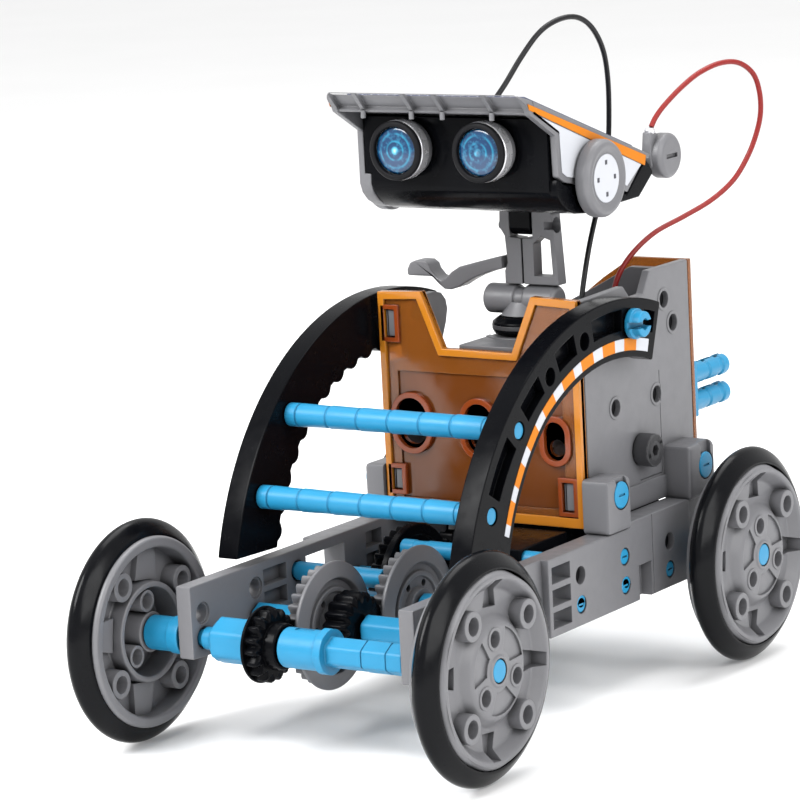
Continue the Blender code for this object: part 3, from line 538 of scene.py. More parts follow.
def wheel(name, side, y, body):
    middle = side * HALF_TRACK
    turn = radians(WHEEL_TURNS[name])

    def at(angle, radius):
        return y + radius * cos(angle + turn), AXLE_Z + radius * sin(angle + turn)

    def along(low, high):
        return sorted((middle + side * low, middle + side * high))

    def tapered(angle, *corners):
        """The outline of a shape symmetric about a spoke: each corner is (radius, half width)."""
        left = [at(angle - half / radius, radius) for radius, half in corners]
        right = [at(angle + half / radius, radius) for radius, half in reversed(corners)]
        return left + right

    corners = (
        (5.4, 3.25), (5.4, 3.9), (5, 4.2), (5, 11.4), (4.6, 12.4), (2.4, 14.5), (1.9, 16), (1.9, 20.4),
        (4.6, 22.7), (5, 23.2), (4.9, 24.3), (4.3, 24.8), (3, RIM_RADIUS), (-4.6, RIM_RADIUS), (-5.4, 25),
        (-5.4, 23), (-4.8, 22.5), (0.4, 22.2), (0.4, 13.6), (-4.2, 13.4), (-4.2, 11.9), (3.2, 11.7), (3.2, 5.8),
        (-4.2, 5.4), (-4.2, HOLE), (3.4, HOLE), (3.4, 3.25),
    )
    profile = softened([(middle + side * x, r) for x, r in corners], 0.5)

    def scallops(angle, radius, x):
        outside = (x - middle) * side > 2.2 and radius > 24.2
        return radius - 0.5 * abs(sin(4 * (angle - turn))) ** 3 if outside else radius

    base = on_axle(y, profile, 96, True, scallops)
    add = []
    cut = []
    for n in range(4):
        a = radians(45 + 90 * n)
        add.append(rod("X", *at(a, STUD_CIRCLE), STUD_RADIUS, *along(-4.2, 5.7), 32, 0.35))
        cut.append(rod("X", *at(a, STUD_CIRCLE), STUD_HOLE, *along(-6, 8), 24))
    # Three holes with raised rims in the middle disc, and a shallow sunken sector between each pair.
    for n in range(3):
        a = radians(45 + 120 * n)
        spans = [radians(s) for s in (-31, -20, -10, 0, 10, 20, 31)]
        sector = [at(a + s, 11.3) for s in spans] + [at(a + 0.8 * s, 5.4) for s in reversed(spans)]
        cut.append(prism("X", sector, *along(4.3, 6)))
        a = radians(105 + 120 * n)
        add.append(rod("X", *at(a, DISC_CIRCLE), DISC_RADIUS, *along(-4, 5.3), 24, 0.15))
        cut.append(rod("X", *at(a, DISC_CIRCLE), DISC_HOLE, *along(-6, 8), 24))
    for n in range(4):
        a = radians(90 * n)
        add.append(prism("X", tapered(a, (14.4, 4.6), (22.6, 3.4)), *along(-1.6, 1)))
        cut.append(prism("X", tapered(a, (16.2, 2.9), (23, 1.7)), *along(0.1, 6)))
    show(f"wheel_{name}_hub", carved(base, add, cut), GREY, body, [f"wheel_{name}"])

    # Round on top, and as wide as the rim at its foot.
    section = [
        (-3.95, RIM_RADIUS + 0.02), (-3.8, 26.2), (-3.1, 27.4), (-2.2, 28.6), (-1.2, 29.6), (0, WHEEL_RADIUS),
        (1.2, 29.55), (2.2, 28.5), (3.2, 27.2), (3.9, 26), (3.95, RIM_RADIUS - 0.3), (3, RIM_RADIUS + 0.02),
    ]
    tyre = ringed("X", y, AXLE_Z, [(middle + side * x, r) for x, r in section], 0.6, 96)
    show(f"tyre_{name}_skin", tyre, TYRE, body, [f"tyre_{name}"])


def axles():
    end = HALF_TRACK + 5.3
    head = HALF_TRACK + 3.5
    boss = HALF_TRACK - 4.5
    steps = [
        -end, (-head, 3), (-boss, PEG), (-boss + 7.6, 4.6), (-BEAM_OUT - 0.8, 5), (-BEAM_IN + 1, PEG), (-28.6, 3),
        (-28, 3.6), (-27.3, 4.4), (-26.6, 5.2), (-14.3, 5.85), (-5.6, PEG), (6, 5.3), (8.4, 6.15), (19.4, 3.9),
        (19.8, 3.6), (27, 4), (27.4, 3.7),
        (BEAM_IN - 0.6, 4), (BEAM_OUT + 0.8, PEG), (boss - 7.6, 5), (boss, 4.6), (head, PEG), (end, 3),
    ]

    def flats(angle, radius, _):
        """Six flats where the axle is slim or ends in a collar, eight soft lobes on the wide flange."""
        if 3.5 < radius < 4.3 or 5.8 < radius < 5.9:
            part = (angle + pi / 6) % (pi / 3) - pi / 6
            return radius * 0.95 / max(0.9, cos(part))
        if radius > 6:
            return radius - 0.25 * abs(sin(4 * angle))
        return radius

    front = on_axle(0, capped(shaft_profile(steps), 0.4), 48, False, flats)
    slots = [box(-2.5, 3.2, -1, 1, AXLE_Z + 4.9, AXLE_Z + 6)]
    mould("front_axle", carved(front, cut=slots), BLUE, "front_wheels")
    steps = [
        -end, (-head, 3), (-boss, PEG), (-boss + 6, 4.6), (-RAIL_OUT - 0.8, 5), (-BEAM_IN + 0.6, PEG), (-11, 3.6),
        (-10.6, 3.2), (11, 3.6), (11.4, 3.2), (BEAM_IN - 0.6, 3.6), (RAIL_OUT + 0.8, PEG), (boss - 6, 5),
        (boss, 4.6), (head, PEG), (end, 3),
    ]
    mould("rear_axle", on_axle(REAR_Y, capped(shaft_profile(steps)), 48, False, flats), BLUE, "rear_wheels")
    beam_end, rail_end = BEAM_OUT - 0.2, RAIL_OUT - 0.2
    slim = [(BEAM_IN - 0.6, 3.6)]
    for name, body, y, reach, middle in (
        ("second_axle", "second_shaft", 1, beam_end, [(-13.3, 3.95), (3, PEG), (16, 3.7), (16.4, 3.3), *slim]),
        ("third_axle", "third_shaft", 2, beam_end, [(-2.6, 3.4), (5.2, PEG), (9.5, 4.4), (9.9, 3.4), *slim]),
        ("fourth_axle", "fourth_shaft", 3, rail_end, [(-22, 3.6), (-21.6, 3.2), (5, 3.6), (5.4, 3.2), *slim]),
        ("fifth_axle", "fifth_shaft", 4, rail_end, [(-22.6, 3.6), (-22.2, 3.2), (5, 3.6), (5.4, 3.2), *slim]),
    ):
        steps = [-reach, (-BEAM_IN + 0.6, PEG), *middle, (reach, PEG)]
        bm = on_axle(y * GEAR_STEP, capped(shaft_profile(steps)), 40, False, flats)
        mould(name, bm, BLUE, body)


# Gears.


def toothed(y, z, teeth, low, high, phase, outer=0.82, inner=-1.1, taper=0.6, chamfer=0.5):
    """A gear blank with rounded teeth that narrow at both ends. A tooth is centred at phase."""
    pitch = teeth / 2
    sides = teeth * 8
    ends = [(low, taper), (low + chamfer * 0.4, taper * 0.4), (low + chamfer, 0)]
    rings = []
    for x, drop in ends + [(high + low - x, drop) for x, drop in reversed(ends)]:
        ring = []
        for i in range(sides):
            lift = (0.5 + 0.5 * cos(2 * pi * (i % 8) / 8)) ** 0.8
            r = pitch + inner + (outer - inner) * lift - drop
            angle = phase + 2 * pi * i / sides
            ring.append(place(x, y + r * cos(angle), z + r * sin(angle)))
        rings.append(ring)
    return skinned(rings)


def meshed_phase(phase, teeth, other_teeth, direction):
    return direction + pi + (direction - phase) * teeth / other_teeth + pi / other_teeth


def crown(name, y, flange_x, phase, body):
    """A toothed ring behind a wide dished flange."""
    teeth = toothed(y, AXLE_Z, CROWN_TEETH, flange_x - 5.4, flange_x - 0.8, phase)
    face = [
        (flange_x - 1.4, 0.1), (flange_x - 1.4, FLANGE_RADIUS - 0.5), (flange_x - 0.7, FLANGE_RADIUS),
        (flange_x - 0.1, FLANGE_RADIUS - 0.1), (flange_x + 0.8, 12.8), (flange_x - 1, 12.1), (flange_x - 1, 10.6),
        (flange_x + 0.1, 10.3), (flange_x + 0.1, 9), (flange_x - 1.3, 8.6), (flange_x - 1.3, 6.2),
        (flange_x + 1.1, 5.7), (flange_x + 1.1, 0.1),
    ]
    flange = on_axle(y, softened(face, 0.3), 72)
    windows = []
    for n in range(6):
        a = radians(60 * n)
        windows.append(rod("X", y + 7.4 * cos(a), AXLE_Z + 7.4 * sin(a), 1, flange_x - 2.4, flange_x, 16))
    drill = bore(y, HOLE, flange_x - 8, flange_x + 4)
    dish = on_axle(y, [(flange_x - 6, 12.2), (flange_x - 3.2, 11.4)], 48)
    hub = rod("X", y, AXLE_Z, 5.6, flange_x - 5.4, flange_x - 0.5, 32, 0.3)
    bm = carved(teeth, [flange], [dish, *windows])
    mould(name, carved(bm, [hub], [drill]), GREY, body)


def gears():
    front = 0
    second = meshed_phase(front, PINION_TEETH, CROWN_TEETH, 0)
    third = meshed_phase(second, PINION_TEETH, CROWN_TEETH, 0)
    fourth = meshed_phase(third, CROWN_TEETH, PINION_TEETH, 0)
    fifth = meshed_phase(fourth, CROWN_TEETH, PINION_TEETH, 0)
    teeth = toothed(0, AXLE_Z, PINION_TEETH, -13.4, -9.1, front, inner=-0.6, taper=1.2, chamfer=1.2)
    plate = [(-13.9, 0.1), (-13.9, 9.6), (-13.6, 10.1), (-13, 10.1), (-12.7, 8.4), (-12.7, 0.1)]
    flange = on_axle(0, softened(plate, 0.3), 64)
    collar = on_axle(0, softened([(-9.6, 0.1), (-9.6, 6.4), (-6, 6), (-6, 0.1)], 0.5), 48)
    drill = bore(0, HOLE, -24, 2)
    mouth = on_axle(0, [(-7.4, 4.8), (-5.4, 5.4)], 48)
    mould("front_pinion", carved(teeth, [flange, collar], [mouth, drill]), BLACK, "front_wheels")
    crown("crown_gear_front", GEAR_STEP, -7.4, second, "second_shaft")
    crown("crown_gear_rear", 2 * GEAR_STEP, 3.5, third, "third_shaft")
    nose = [(-5.7, 0.1), (-5.7, 7.2), (1.4, 6.6), (2.2, 5.6), (2.2, 0.1)]
    bm = toothed(GEAR_STEP, AXLE_Z, PINION_TEETH, -5.8, 2.2, second, inner=-0.5, taper=1.6, chamfer=1.6)
    bm = carved(bm, [on_axle(GEAR_STEP, nose, 48)], [bore(GEAR_STEP, HOLE, -10, 8)])
    mould("second_pinion", bm, BLACK, "second_shaft")

    y = 3 * GEAR_STEP
    drill = bore(y, 3.5, -24, 6)
    small = toothed(y, AXLE_Z, PINION_TEETH, -3.2, 2.2, fourth)
    large = toothed(y, AXLE_Z, CROWN_TEETH, -19, -14.4, fourth)
    face = softened([(-14.5, 0.1), (-14.5, FLANGE_RADIUS), (-12.8, FLANGE_RADIUS - 0.4), (-12.8, 0.1)], 0.3)
    plate = on_axle(y, face, 64)
    recess = on_axle(y, [(-13.5, 13.6), (-12, 14), (-12, 6.4), (-13.5, 6)], 64, True)
    bm = joined([carved(small, cut=[drill.copy()]), carved(large, [plate], [recess, drill])])
    show("fourth_gears_moulding", bm, BLACK, "fourth_shaft", ["fourth_axle"])
    y = 4 * GEAR_STEP
    bm = carved(toothed(y, AXLE_Z, PINION_TEETH, -19.8, -14.9, fifth), cut=[bore(y, 3.5, -24, 6)])
    show("fifth_gear_moulding", bm, BLACK, "fifth_shaft", ["fifth_axle"])


# Chassis.


def side_beam(name, side):
    plate, hole, block = shapes_on(side)
    height = BEAM_TOP - BEAM_LOW

    def ladder(y0, y1, x0, x1):
        """Three openings, one over the other."""
        step = (height - 3) / 3
        return [
            block(x0, x1, y0, y1, BEAM_LOW + 2.2 + n * step, BEAM_LOW + 0.6 + (n + 1) * step) for n in range(3)
        ]

    front = [(BEAM_FRONT, 25), (BEAM_FRONT, BEAM_TOP), (100, BEAM_TOP), (100, BEAM_LOW), (40, BEAM_LOW)]
    raised = [(STEP_FRONT, RAIL_TOP), (STEP_BACK, RAIL_TOP)]
    heel = [(RAIL_BACK, 24.5), (129.5, BEAM_LOW)]
    back = [(STEP_FRONT, BEAM_LOW), *raised, (STEP_BACK, BACK_TOP), (145, BACK_TOP), (145, 24.5), *heel]
    rail = [
        (RAIL_FRONT, BEAM_LOW), (RAIL_FRONT, BEAM_TOP), (STEP_FRONT, BEAM_TOP), *raised, (RAIL_BACK, BACK_TOP), *heel,
    ]
    holes = [(GEAR_STEP * n, ROW_LOW) for n in range(3)] + [(REAR_Y, AXLE_Z)]
    holes += [(0, ROW_HIGH if side > 0 else ROW_HIGH - 1.4), (GEAR_STEP, ROW_HIGH)]
    holes += [(43.5, 38.5)] if side < 0 else []
    low, high = BEAM_IN - 1, RAIL_OUT + 1
    cut = [hole(*at, HOLE, low, high) for at in holes]
    cut += [hole(*at, HOLE + 0.5, low, BEAM_IN + 0.5) for at in holes]
    cut += [hole(*at, HOLE, RAIL_OUT - 2.2, high) for at in RAIL_HOLES + RAIL_PINS]
    cut += [hole(GEAR_STEP * n, ROW_LOW, HOLE, low, BEAM_IN + 1.6) for n in (3, 4)]
    if side > 0:
        cut += ladder(57.5, 66.8, low, high)
        cut += [block(36, 41, 102.5, 109.5, 20, 33), block(RAIL_OUT - 0.35, 41, 110.3, 110.6, 22, 47)]
    else:
        cut.append(block(low, high, 47.5, 66, 27, 41.6))
        cut += ladder(27.6, 38.2, low, BEAM_IN + 2.6) + ladder(76.4, 84.4, low, BEAM_IN + 3.4)
    add = [plate(back, BEAM_IN, BEAM_OUT, 0.5), plate(rail, BEAM_OUT - 1, RAIL_OUT, 0.5)]
    mould(name, carved(plate(front, BEAM_IN, BEAM_OUT, 0.5), add, cut), GREY)
    for n, at in enumerate(RAIL_HOLES):
        # A dark disc at the hole's floor is painted shadow.
        show(f"{name}_socket_shadow_{n}", hole(*at, HOLE - 0.05, RAIL_OUT - 2.1, RAIL_OUT - 1.8, 24, 0.05), HOLE_SHADE)


def peg_ends():
    """Blue pegs that end flush in the rails' holes."""
    for n, (y, z) in enumerate(RAIL_PINS):
        for word, side in SIDES:
            ends = [(side * (RAIL_OUT - 2.1), PEG), (side * (RAIL_OUT - 0.2), PEG)]
            slot = box(*sided(side, RAIL_OUT - 0.7, RAIL_OUT + 1), y - 1.2, y + 1.2, z - 0.25, z + 0.25)
            bm = carved(turned("X", y, z, capped(ends, 0.4), 24), cut=[slot])
            show(f"beam_peg_{word}_{n}", bm, BLUE)


def chassis():
    side_beam("side_beam_left", 1)
    side_beam("side_beam_right", -1)
    peg_ends()
    inner = BEAM_IN - GAP
    bracket = box(6, 27, 62, 86.5, 35, 45, 0.5)
    trims = [box(5, 28, 66, 82, 34, 39), rod("X", 65, 42, HOLE, 5, 28, 24)]
    post = rod("Z", 20, 83, 3.4, 30, 44, 24, 0.4)
    mould("gear_bracket", carved(bracket, [post], trims), BLACK)
    steps = capped([(-12, PEG + 0.2), (-8, PEG + 0.2), (-7.8, PEG), (-4, PEG), (-3.8, PEG + 0.2), (5.4, PEG + 0.2),
                    (5.4, PEG), (inner - 0.1, PEG)])
    mould("middle_rod", turned("X", 65, 42, steps, 32), BLUE)
    steps = capped([(-BEAM_OUT + 0.2, PEG), (-BEAM_IN + GAP, PEG), (-BEAM_IN + GAP, 2.6), (-24.2, 2.6), (-24, 2.2),
                    (-23, 2.2), (-22.8, 2.6), (-4.2, 2.6)])
    mould("front_peg", turned("X", 43.5, 38.5, steps, 32), BLUE)


# Housing.


def side_panel(name, side):
    plate, hole, block = shapes_on(side)
    tall = [(113, HOUSE_TOP + 0.6), (116.5, 104.4), (123.5, 104.4), (127.5, 110.4), (HOUSE_BACK, 110.4)]
    short = [
        (98.5, 88), (98.6, 96), (99.8, 100.4), (102.4, 103.3), (106, 104.2), (113, 104.2), (116.2, 103.4),
        (118.4, 101.2), (119.1, 98.4), (118, 94.6), (114.9, 88.4), (119, 85.5), (HOUSE_BACK, 80),
    ]
    front_top, top = (HOUSE_TOP, tall) if side > 0 else (88, short)
    outline = [(HOUSE_FRONT, HOUSE_LOW), (HOUSE_FRONT, front_top), *top, (HOUSE_BACK, HOUSE_LOW)]
    front = [(86.4, BEAM_TOP), (98.6, BEAM_TOP), (98.6, 57.8), (98, 58.9), (96.9, 59.4), (86.4, 59.4)]
    back = [(131, BACK_TOP), (145.3, BACK_TOP), (145.3, 58.6), (144.6, 60), (143.3, 60.6), (131, 60.6)]
    low, high = WALL_OUT - 1, WALL_OUT + 1
    add = [
        plate(front, low, 40.5 if side > 0 else 38.6, 1.2), plate(back, low, 40.5, 1.2),
        block(low, WALL_OUT + 0.7, 98, 131.6, RAIL_TOP, 52.5, 0.5),
    ]
    cut = [block(20, WALL_OUT + GAP, 80, PANEL_BACK + GAP, 40, 70)]
    for y, z in (TIE_FRONT, TIE_BACK):
        cut += [
            hole(y, z, HOLE, WALL_IN - 1, 42), hole(y, z, 4.1, 39.4, 42, 32),
            block(39.4, 42, y - 2.8, y + 2.8, z + 2, z + 12),
        ]
    cut.append(hole(OUTPUT_Y, OUTPUT_Z, 3.3, WALL_IN - 1, high, 32))
    cut.append(hole(*arc_point(ARC_PIN_ANGLE), HOLE, WALL_IN - 1, high))
    if side > 0:
        for n, at in enumerate(PANEL_HOLES):
            add.append(hole(*at, HOLE + 0.7, low, WALL_OUT + 0.25, 24, 0.1))
            cut.append(hole(*at, HOLE - 0.1, WALL_OUT - 1.7, high))
            # A dark disc at the hole's floor is painted shadow.
            show(f"{name}_socket_shadow_{n}", hole(*at, HOLE - 0.15, WALL_OUT - 1.6, WALL_OUT - 1.3, 24, 0.05), HOLE_SHADE)
        groove = WALL_OUT - 0.3, 34
        cut += [block(*groove, 130.2, 130.5, 53, 82), block(*groove, 118, 130.2, 53, 53.3)]
    mould(name, carved(plate(outline, WALL_IN, WALL_OUT, 0.4), add, cut), GREY)


def obround(x, z, half_width, height, sides=12):
    """The outline of an upright slot with round ends."""
    straight = height / 2 - half_width
    half = [(half_width * cos(a), straight + half_width * sin(a))
            for a in (pi * n / sides for n in range(sides + 1))]
    return [(x + a, z + b) for a, b in half] + [(x - a, z - b) for a, b in half]


def front_panel():
    """A clear panel: a thin middle painted brown for the shade inside behind it, in a rim painted brighter for the
    light it catches, with oval bosses and clips.
    """
    back = PANEL_BACK - 0.2
    through = PANEL_FRONT - 1, PANEL_BACK + 1
    part = {"body": "chassis", "stands_for": ["front_panel"]}

    def framed(x0, x1, z0, z1, inset, low, high, edge=0):
        return box(x0 + inset, x1 - inset, low, high, z0 + inset, z1 - inset, edge)

    lip = [(-WALL_OUT, 108), (-17.8, 108.6), (-11.4, 93), (11, 92.8), (17.8, 108.6), (WALL_OUT, 108)]
    inner = [(WALL_OUT, 105.8), (19.2, 106.4), (12.4, 90.8), (-12.8, 91), (-19.2, 106.4), (-WALL_OUT, 105.8)]
    outline = [(-WALL_OUT, 50), *lip, (WALL_OUT, 45.6), (-28, 45.6)]
    pane = [(-27, 50.4), (23, 50.4), (26, 53.4), (26, 86), (-27, 86)]
    clips = ((-31.4, -25.4, 94, 104.5), (-31.4, -25.4, 51, 59.8), (23.9, 30.2, 48.6, 59.4))
    ovals = []
    for x, z, half_width, height in ((-22.8, 71.5, 6.7, 17.5), (-0.8, 71, 6.2, 17.5), (23.5, 69.2, 5, 14)):
        boss = prism("Y", obround(x, z, half_width, height), PANEL_FRONT, back, 0.3)
        slot = prism("Y", obround(x, z, half_width - 1.6, height - 3.2), PANEL_FRONT - 1, PANEL_BACK - 1.4)
        ovals.append((boss, slot, rod("Y", x, z - height / 2 + half_width, half_width - 2.6, *through, 24)))

    def cuts():
        return [bm.copy() for _, slot, hole in ovals for bm in (slot, hole)] + [
            framed(*clip, 0.3, *through) for clip in clips
        ]

    plate = prism("Y", outline, PANEL_FRONT + 0.9, PANEL_BACK - 0.4, 0.2)
    show("front_panel_plate", carved(plate, cut=[prism("Y", pane, *through), *cuts()]), ORANGE, **part)
    # The pane is painted darker for the shade inside behind it.
    window = prism("Y", pane, PANEL_FRONT + 1.5, PANEL_BACK - 0.5)
    show("front_panel_pane", carved(window, cut=cuts()), ORANGE_PAINTED_SHADE, **part)
    bars = [
        box(WALL_OUT - 2, WALL_OUT, PANEL_FRONT, back, 45.8, 107, 0.25),
        box(-WALL_OUT, 2 - WALL_OUT, PANEL_FRONT, back, 50.2, 107, 0.25),
        box(-28, WALL_OUT - 0.4, PANEL_FRONT, back, 45.6, 48.4, 0.3),
    ]
    # The rim is painted brighter for the light it catches.
    rim = carved(prism("Y", lip + inner, PANEL_FRONT, back, 0.25), bars)
    show("front_panel_rim", rim, ORANGE_LIT_RIM, **part)
    for n, clip in enumerate(clips):
        bm = carved(framed(*clip, 0, PANEL_FRONT, back, 0.3), cut=[framed(*clip, 1.3, *through)])
        show(f"front_panel_clip_{n}", bm, ORANGE_RED, **part)
        x0, _, z0, z1 = clip
        groove = box(x0 + 2, x0 + 2.4, PANEL_FRONT - 1, PANEL_FRONT + 1.3, z0, z1)
        tab = carved(framed(*clip, 1.6, PANEL_FRONT + 0.8, back, 0.3), cut=[groove])
        show(f"front_panel_tab_{n}", tab, GREY)
    show("front_panel_contact", box(17.5, 23, PANEL_BACK - 1.2, back, 50, 53.4, 0.3), BRASS)
    for n, (boss, slot, hole) in enumerate(ovals):
        show(f"front_panel_boss_{n}", carved(boss, cut=[slot, hole]), ORANGE_RED, **part)


def rear_panel():
    outline = [
        (-WALL_OUT, 46), (-WALL_OUT, 80), (-10, 80), (-4, 98), (4, 104), (14, 110.4),
        (WALL_OUT, 110.4), (WALL_OUT, 46),
    ]
    base = prism("Y", outline, HOUSE_BACK + GAP, 150.6, 0.3)
    ribs = [rod("Y", x, 66, 3.6, 149, 150.6, 24) for x in (-18, 0)]
    holes = [rod("Y", x, 66, HOLE - 0.1, 148, 152, 24) for x in (-18, 0)]
    mould("rear_panel", carved(base, ribs, holes), ORANGE)


def housing():
    side_panel("side_panel_left", 1)
    side_panel("side_panel_right", -1)
    front_panel()
    rear_panel()
    for name, centre in (("front_tie_rod", TIE_FRONT), ("rear_tie_rod", TIE_BACK)):
        steps = capped(shaft_profile([-40.6, (-39.7, 3.7), (39.7, PEG), (40.6, 3.7)]), 0.5)
        bm = turned("X", *centre, steps, 40)
        slots = [box(x - 0.4, x + 0.4, centre[0] - 1.6, centre[0] + 1.6, centre[1] - 0.3, centre[1] + 0.3)
                 for x in (-40.6, 40.6)]
        mould(name, carved(bm, cut=slots), BLUE)

    inner = WALL_IN - GAP
    deck = box(-8, inner, HOUSE_FRONT, 146, 91.4, 93.8, 0.3)
    wall_outline = [(-4, 91.4), (-4, 98), (6, 103), (16, 108.4), (inner, 108.4), (inner, 91.4)]
    wall = prism("Y", wall_outline, 143.6, 146, 0.3)
    collar = turned("Z", 0, NECK_Y, [(92, 11.4), (94, 11.4), (94, 9.9), (92, 9.9)], 48, True)
    spare = box(-12, -8, 90, 140, 91, 95)
    cuts = [rod("Z", WIRE_X, y, 3, 85, 100, 24) for y in WIRE_HOLES] + [spare]
    mould("top_deck", carved(deck, [wall, collar], cuts), GREY)

    fork = box(25, 31, 151, 154, 64.5, 80.5, 0.5)
    prongs = []
    cut = []
    for z in (76.4, 68.4):
        profile = capped([(153, 3), (160, 3), (160.4, 2.6), (161.6, 2.6), (162, 3), (167, 3),
                          (167.4, 2.6), (169.2, 2.6), (169.6, 3.1), (172.4, 3.1), (173.6, 2.2)], 0.3)
        prongs.append(turned("Y", 28, z, profile, 32))
        cut.append(box(27.4, 28.6, 158, 175, z - 4, z + 4))
    mould("rear_fork", carved(fork, prongs, cut), BLUE)

    sleeve, tip = WALL_OUT + GAP, 36.9
    profile = capped(shaft_profile([-tip, (-sleeve, 4.6), (sleeve, 2.8), (tip, 4.6)]), 0.5)
    cut = [rod("X", OUTPUT_Y, OUTPUT_Z, 2.7, x - 3.6, x + 3.6, 24) for x in (-tip, tip)]
    keys = []
    for x in (-tip, tip):
        low, high = sorted((x * 0.9, x * 0.99))
        keys += [
            box(low, high, OUTPUT_Y + y - 0.5, OUTPUT_Y + y + 0.5, OUTPUT_Z + z - 0.5, OUTPUT_Z + z + 0.5)
            for y, z in ((2.4, 0), (-2.4, 0), (0, 2.4), (0, -2.4))
        ]
    bm = carved(carved(turned("X", OUTPUT_Y, OUTPUT_Z, profile, 48), cut=cut), keys)
    show("output_sleeves", bm, DARK_GREY, "output")


# Fender arcs.


def fender_outline(serrated):
    foot_outer = pi - asin((ARC_FOOT - ARC_Z) / ARC_OUTER)
    foot_inner = pi - asin((ARC_FOOT - ARC_Z) / ARC_INNER)
    steps = 112
    outer = [arc_point(ARC_END + (foot_outer - ARC_END) * i / steps, ARC_OUTER) for i in range(steps + 1)]
    inner = []
    for i in range(steps + 1):
        share = i / steps
        # Rounded teeth, each with a steep side and a slow one.
        tooth = (14 * share) % 1
        rise = sin(pi * min(1, tooth * 1.35)) ** 0.8 if tooth * 1.35 < 1 else 0
        angle = ARC_END + (foot_inner - ARC_END) * share
        inner.append(arc_point(angle, arc_inner(angle) + (0.9 - 1.5 * rise if serrated else 0)))
    return outer + inner[::-1]


def arc_band(start, end, low_radius, high_radius, low, high, edge=0):
    steps = max(2, int(abs(end - start) / radians(2.5)))
    angles = [start + (end - start) * i / steps for i in range(steps + 1)]
    outline = [arc_point(a, high_radius) for a in angles] + [arc_point(a, low_radius) for a in reversed(angles)]
    return prism("X", outline, low, high, edge)


def fender_arc(name, side):
    base = prism("X", fender_outline(side < 0), *sided(side, ARC_IN, ARC_OUT), 0.4)
    through = sided(side, ARC_IN - 1, ARC_OUT + 1)
    blind = sided(side, ARC_OUT - 2.6, ARC_OUT + 1)
    fixed = [ARC_PIN_ANGLE, *BAR_ANGLES.values()]
    cut = [rod("X", *arc_point(a), HOLE, *(through if a in fixed else blind), 24)
           for a in (*fixed, *ARC_SPARE_ANGLES)]
    margin = radians(3.6)
    angles = sorted((*fixed, *ARC_SPARE_ANGLES))
    cut += [arc_band(a + margin, b - margin, 70.2, 76, *blind) for a, b in zip(angles, angles[1:])]
    cut.append(arc_band(ARC_END + 0.03, angles[0] - 0.09, 70.2, 76, *blind))
    mould(name, carved(base, cut=cut), BLACK)

    # A printed band along the inner edge: orange blocks on white, and a pale end.
    face = side * (ARC_OUT + 0.01)
    skin = side * (ARC_OUT + SKIN)
    start, end = ARC_END + 0.055, radians(156)
    step = radians(0.7)
    period, block = radians(9.6), radians(5.6)
    first = radians(80)
    bm = bmesh.new()
    rows = []
    for n in range(int((end - start) / step) + 1):
        a = start + n * step
        ring = [arc_inner(a) + 1.8, arc_inner(a) + 5.3 - 1.2 * (a - start) / (end - start)]
        points = [place(face, *arc_point(a, r)) for r in ring] + [place(skin, *arc_point(a, r)) for r in ring[::-1]]
        rows.append([bm.verts.new(p) for p in points])
    bm.faces.new(rows[0])
    bm.faces.new(rows[-1])
    for n, (a, b) in enumerate(zip(rows, rows[1:])):
        for i in range(4):
            j = (i + 1) % 4
            made = bm.faces.new((a[i], a[j], b[j], b[i]))
            turn = start + (n + 0.5) * step - first
            made.material_index = 1 if turn > 0 and turn % period < block else 0
    bmesh.ops.recalc_face_normals(bm, faces=bm.faces)
    show(f"{name}_sticker", bm, [STICKER_WHITE, STICKER_ORANGE])


def fenders():
    fender_arc("fender_arc_left", 1)
    fender_arc("fender_arc_right", -1)
    for name, angle in BAR_ANGLES.items():
        end = ARC_IN - GAP
        profile = [(-ARC_OUT + GAP, PEG), (-end, PEG), (-end, 3.2), (-end + 3, 3.2), (-end + 3.2, 2.75)]
        segments = 6
        length = 2 * end - 6.4
        for n in range(segments):
            low = -end + 3.2 + n * length / segments
            high = low + length / segments
            profile += [(low + 0.15, 2.75), (low + 0.55, 3.2), (high - 0.35, 3.05), (high - 0.15, 2.75)]
        profile += [(end - 2.8, 2.75), (end - 2.6, 3.2), (end, 3.2), (end, PEG), (ARC_OUT - GAP, PEG)]
        bm = turned("X", *arc_point(angle), capped(profile, 0.12), 40)
        mould(f"crossbar_{name}", bm, BLUE)
    for name, side in SIDES:
        y, z = arc_point(ARC_PIN_ANGLE)
        steps = [WALL_IN - 0.8, (ARC_OUT + GAP, PEG), (ARC_OUT + 2.2, 4.2), (ARC_OUT + 4.6, 3.5)]
        profile = capped([(side * x, r) for x, r in shaft_profile(steps)], 0.5)
        slot = box(*sided(side, ARC_OUT + 1.4, ARC_OUT + 6), y - 6, y + 6, z - 0.9, z + 0.9)
        notch = rod("X", y, z, 1.6, *sided(side, ARC_OUT + 2.6, ARC_OUT + 6), 20)
        bm = carved(turned("X", y, z, profile, 40), cut=[slot, notch])
        mould(f"arc_pin_{name}", bm, BLUE)


# Neck.


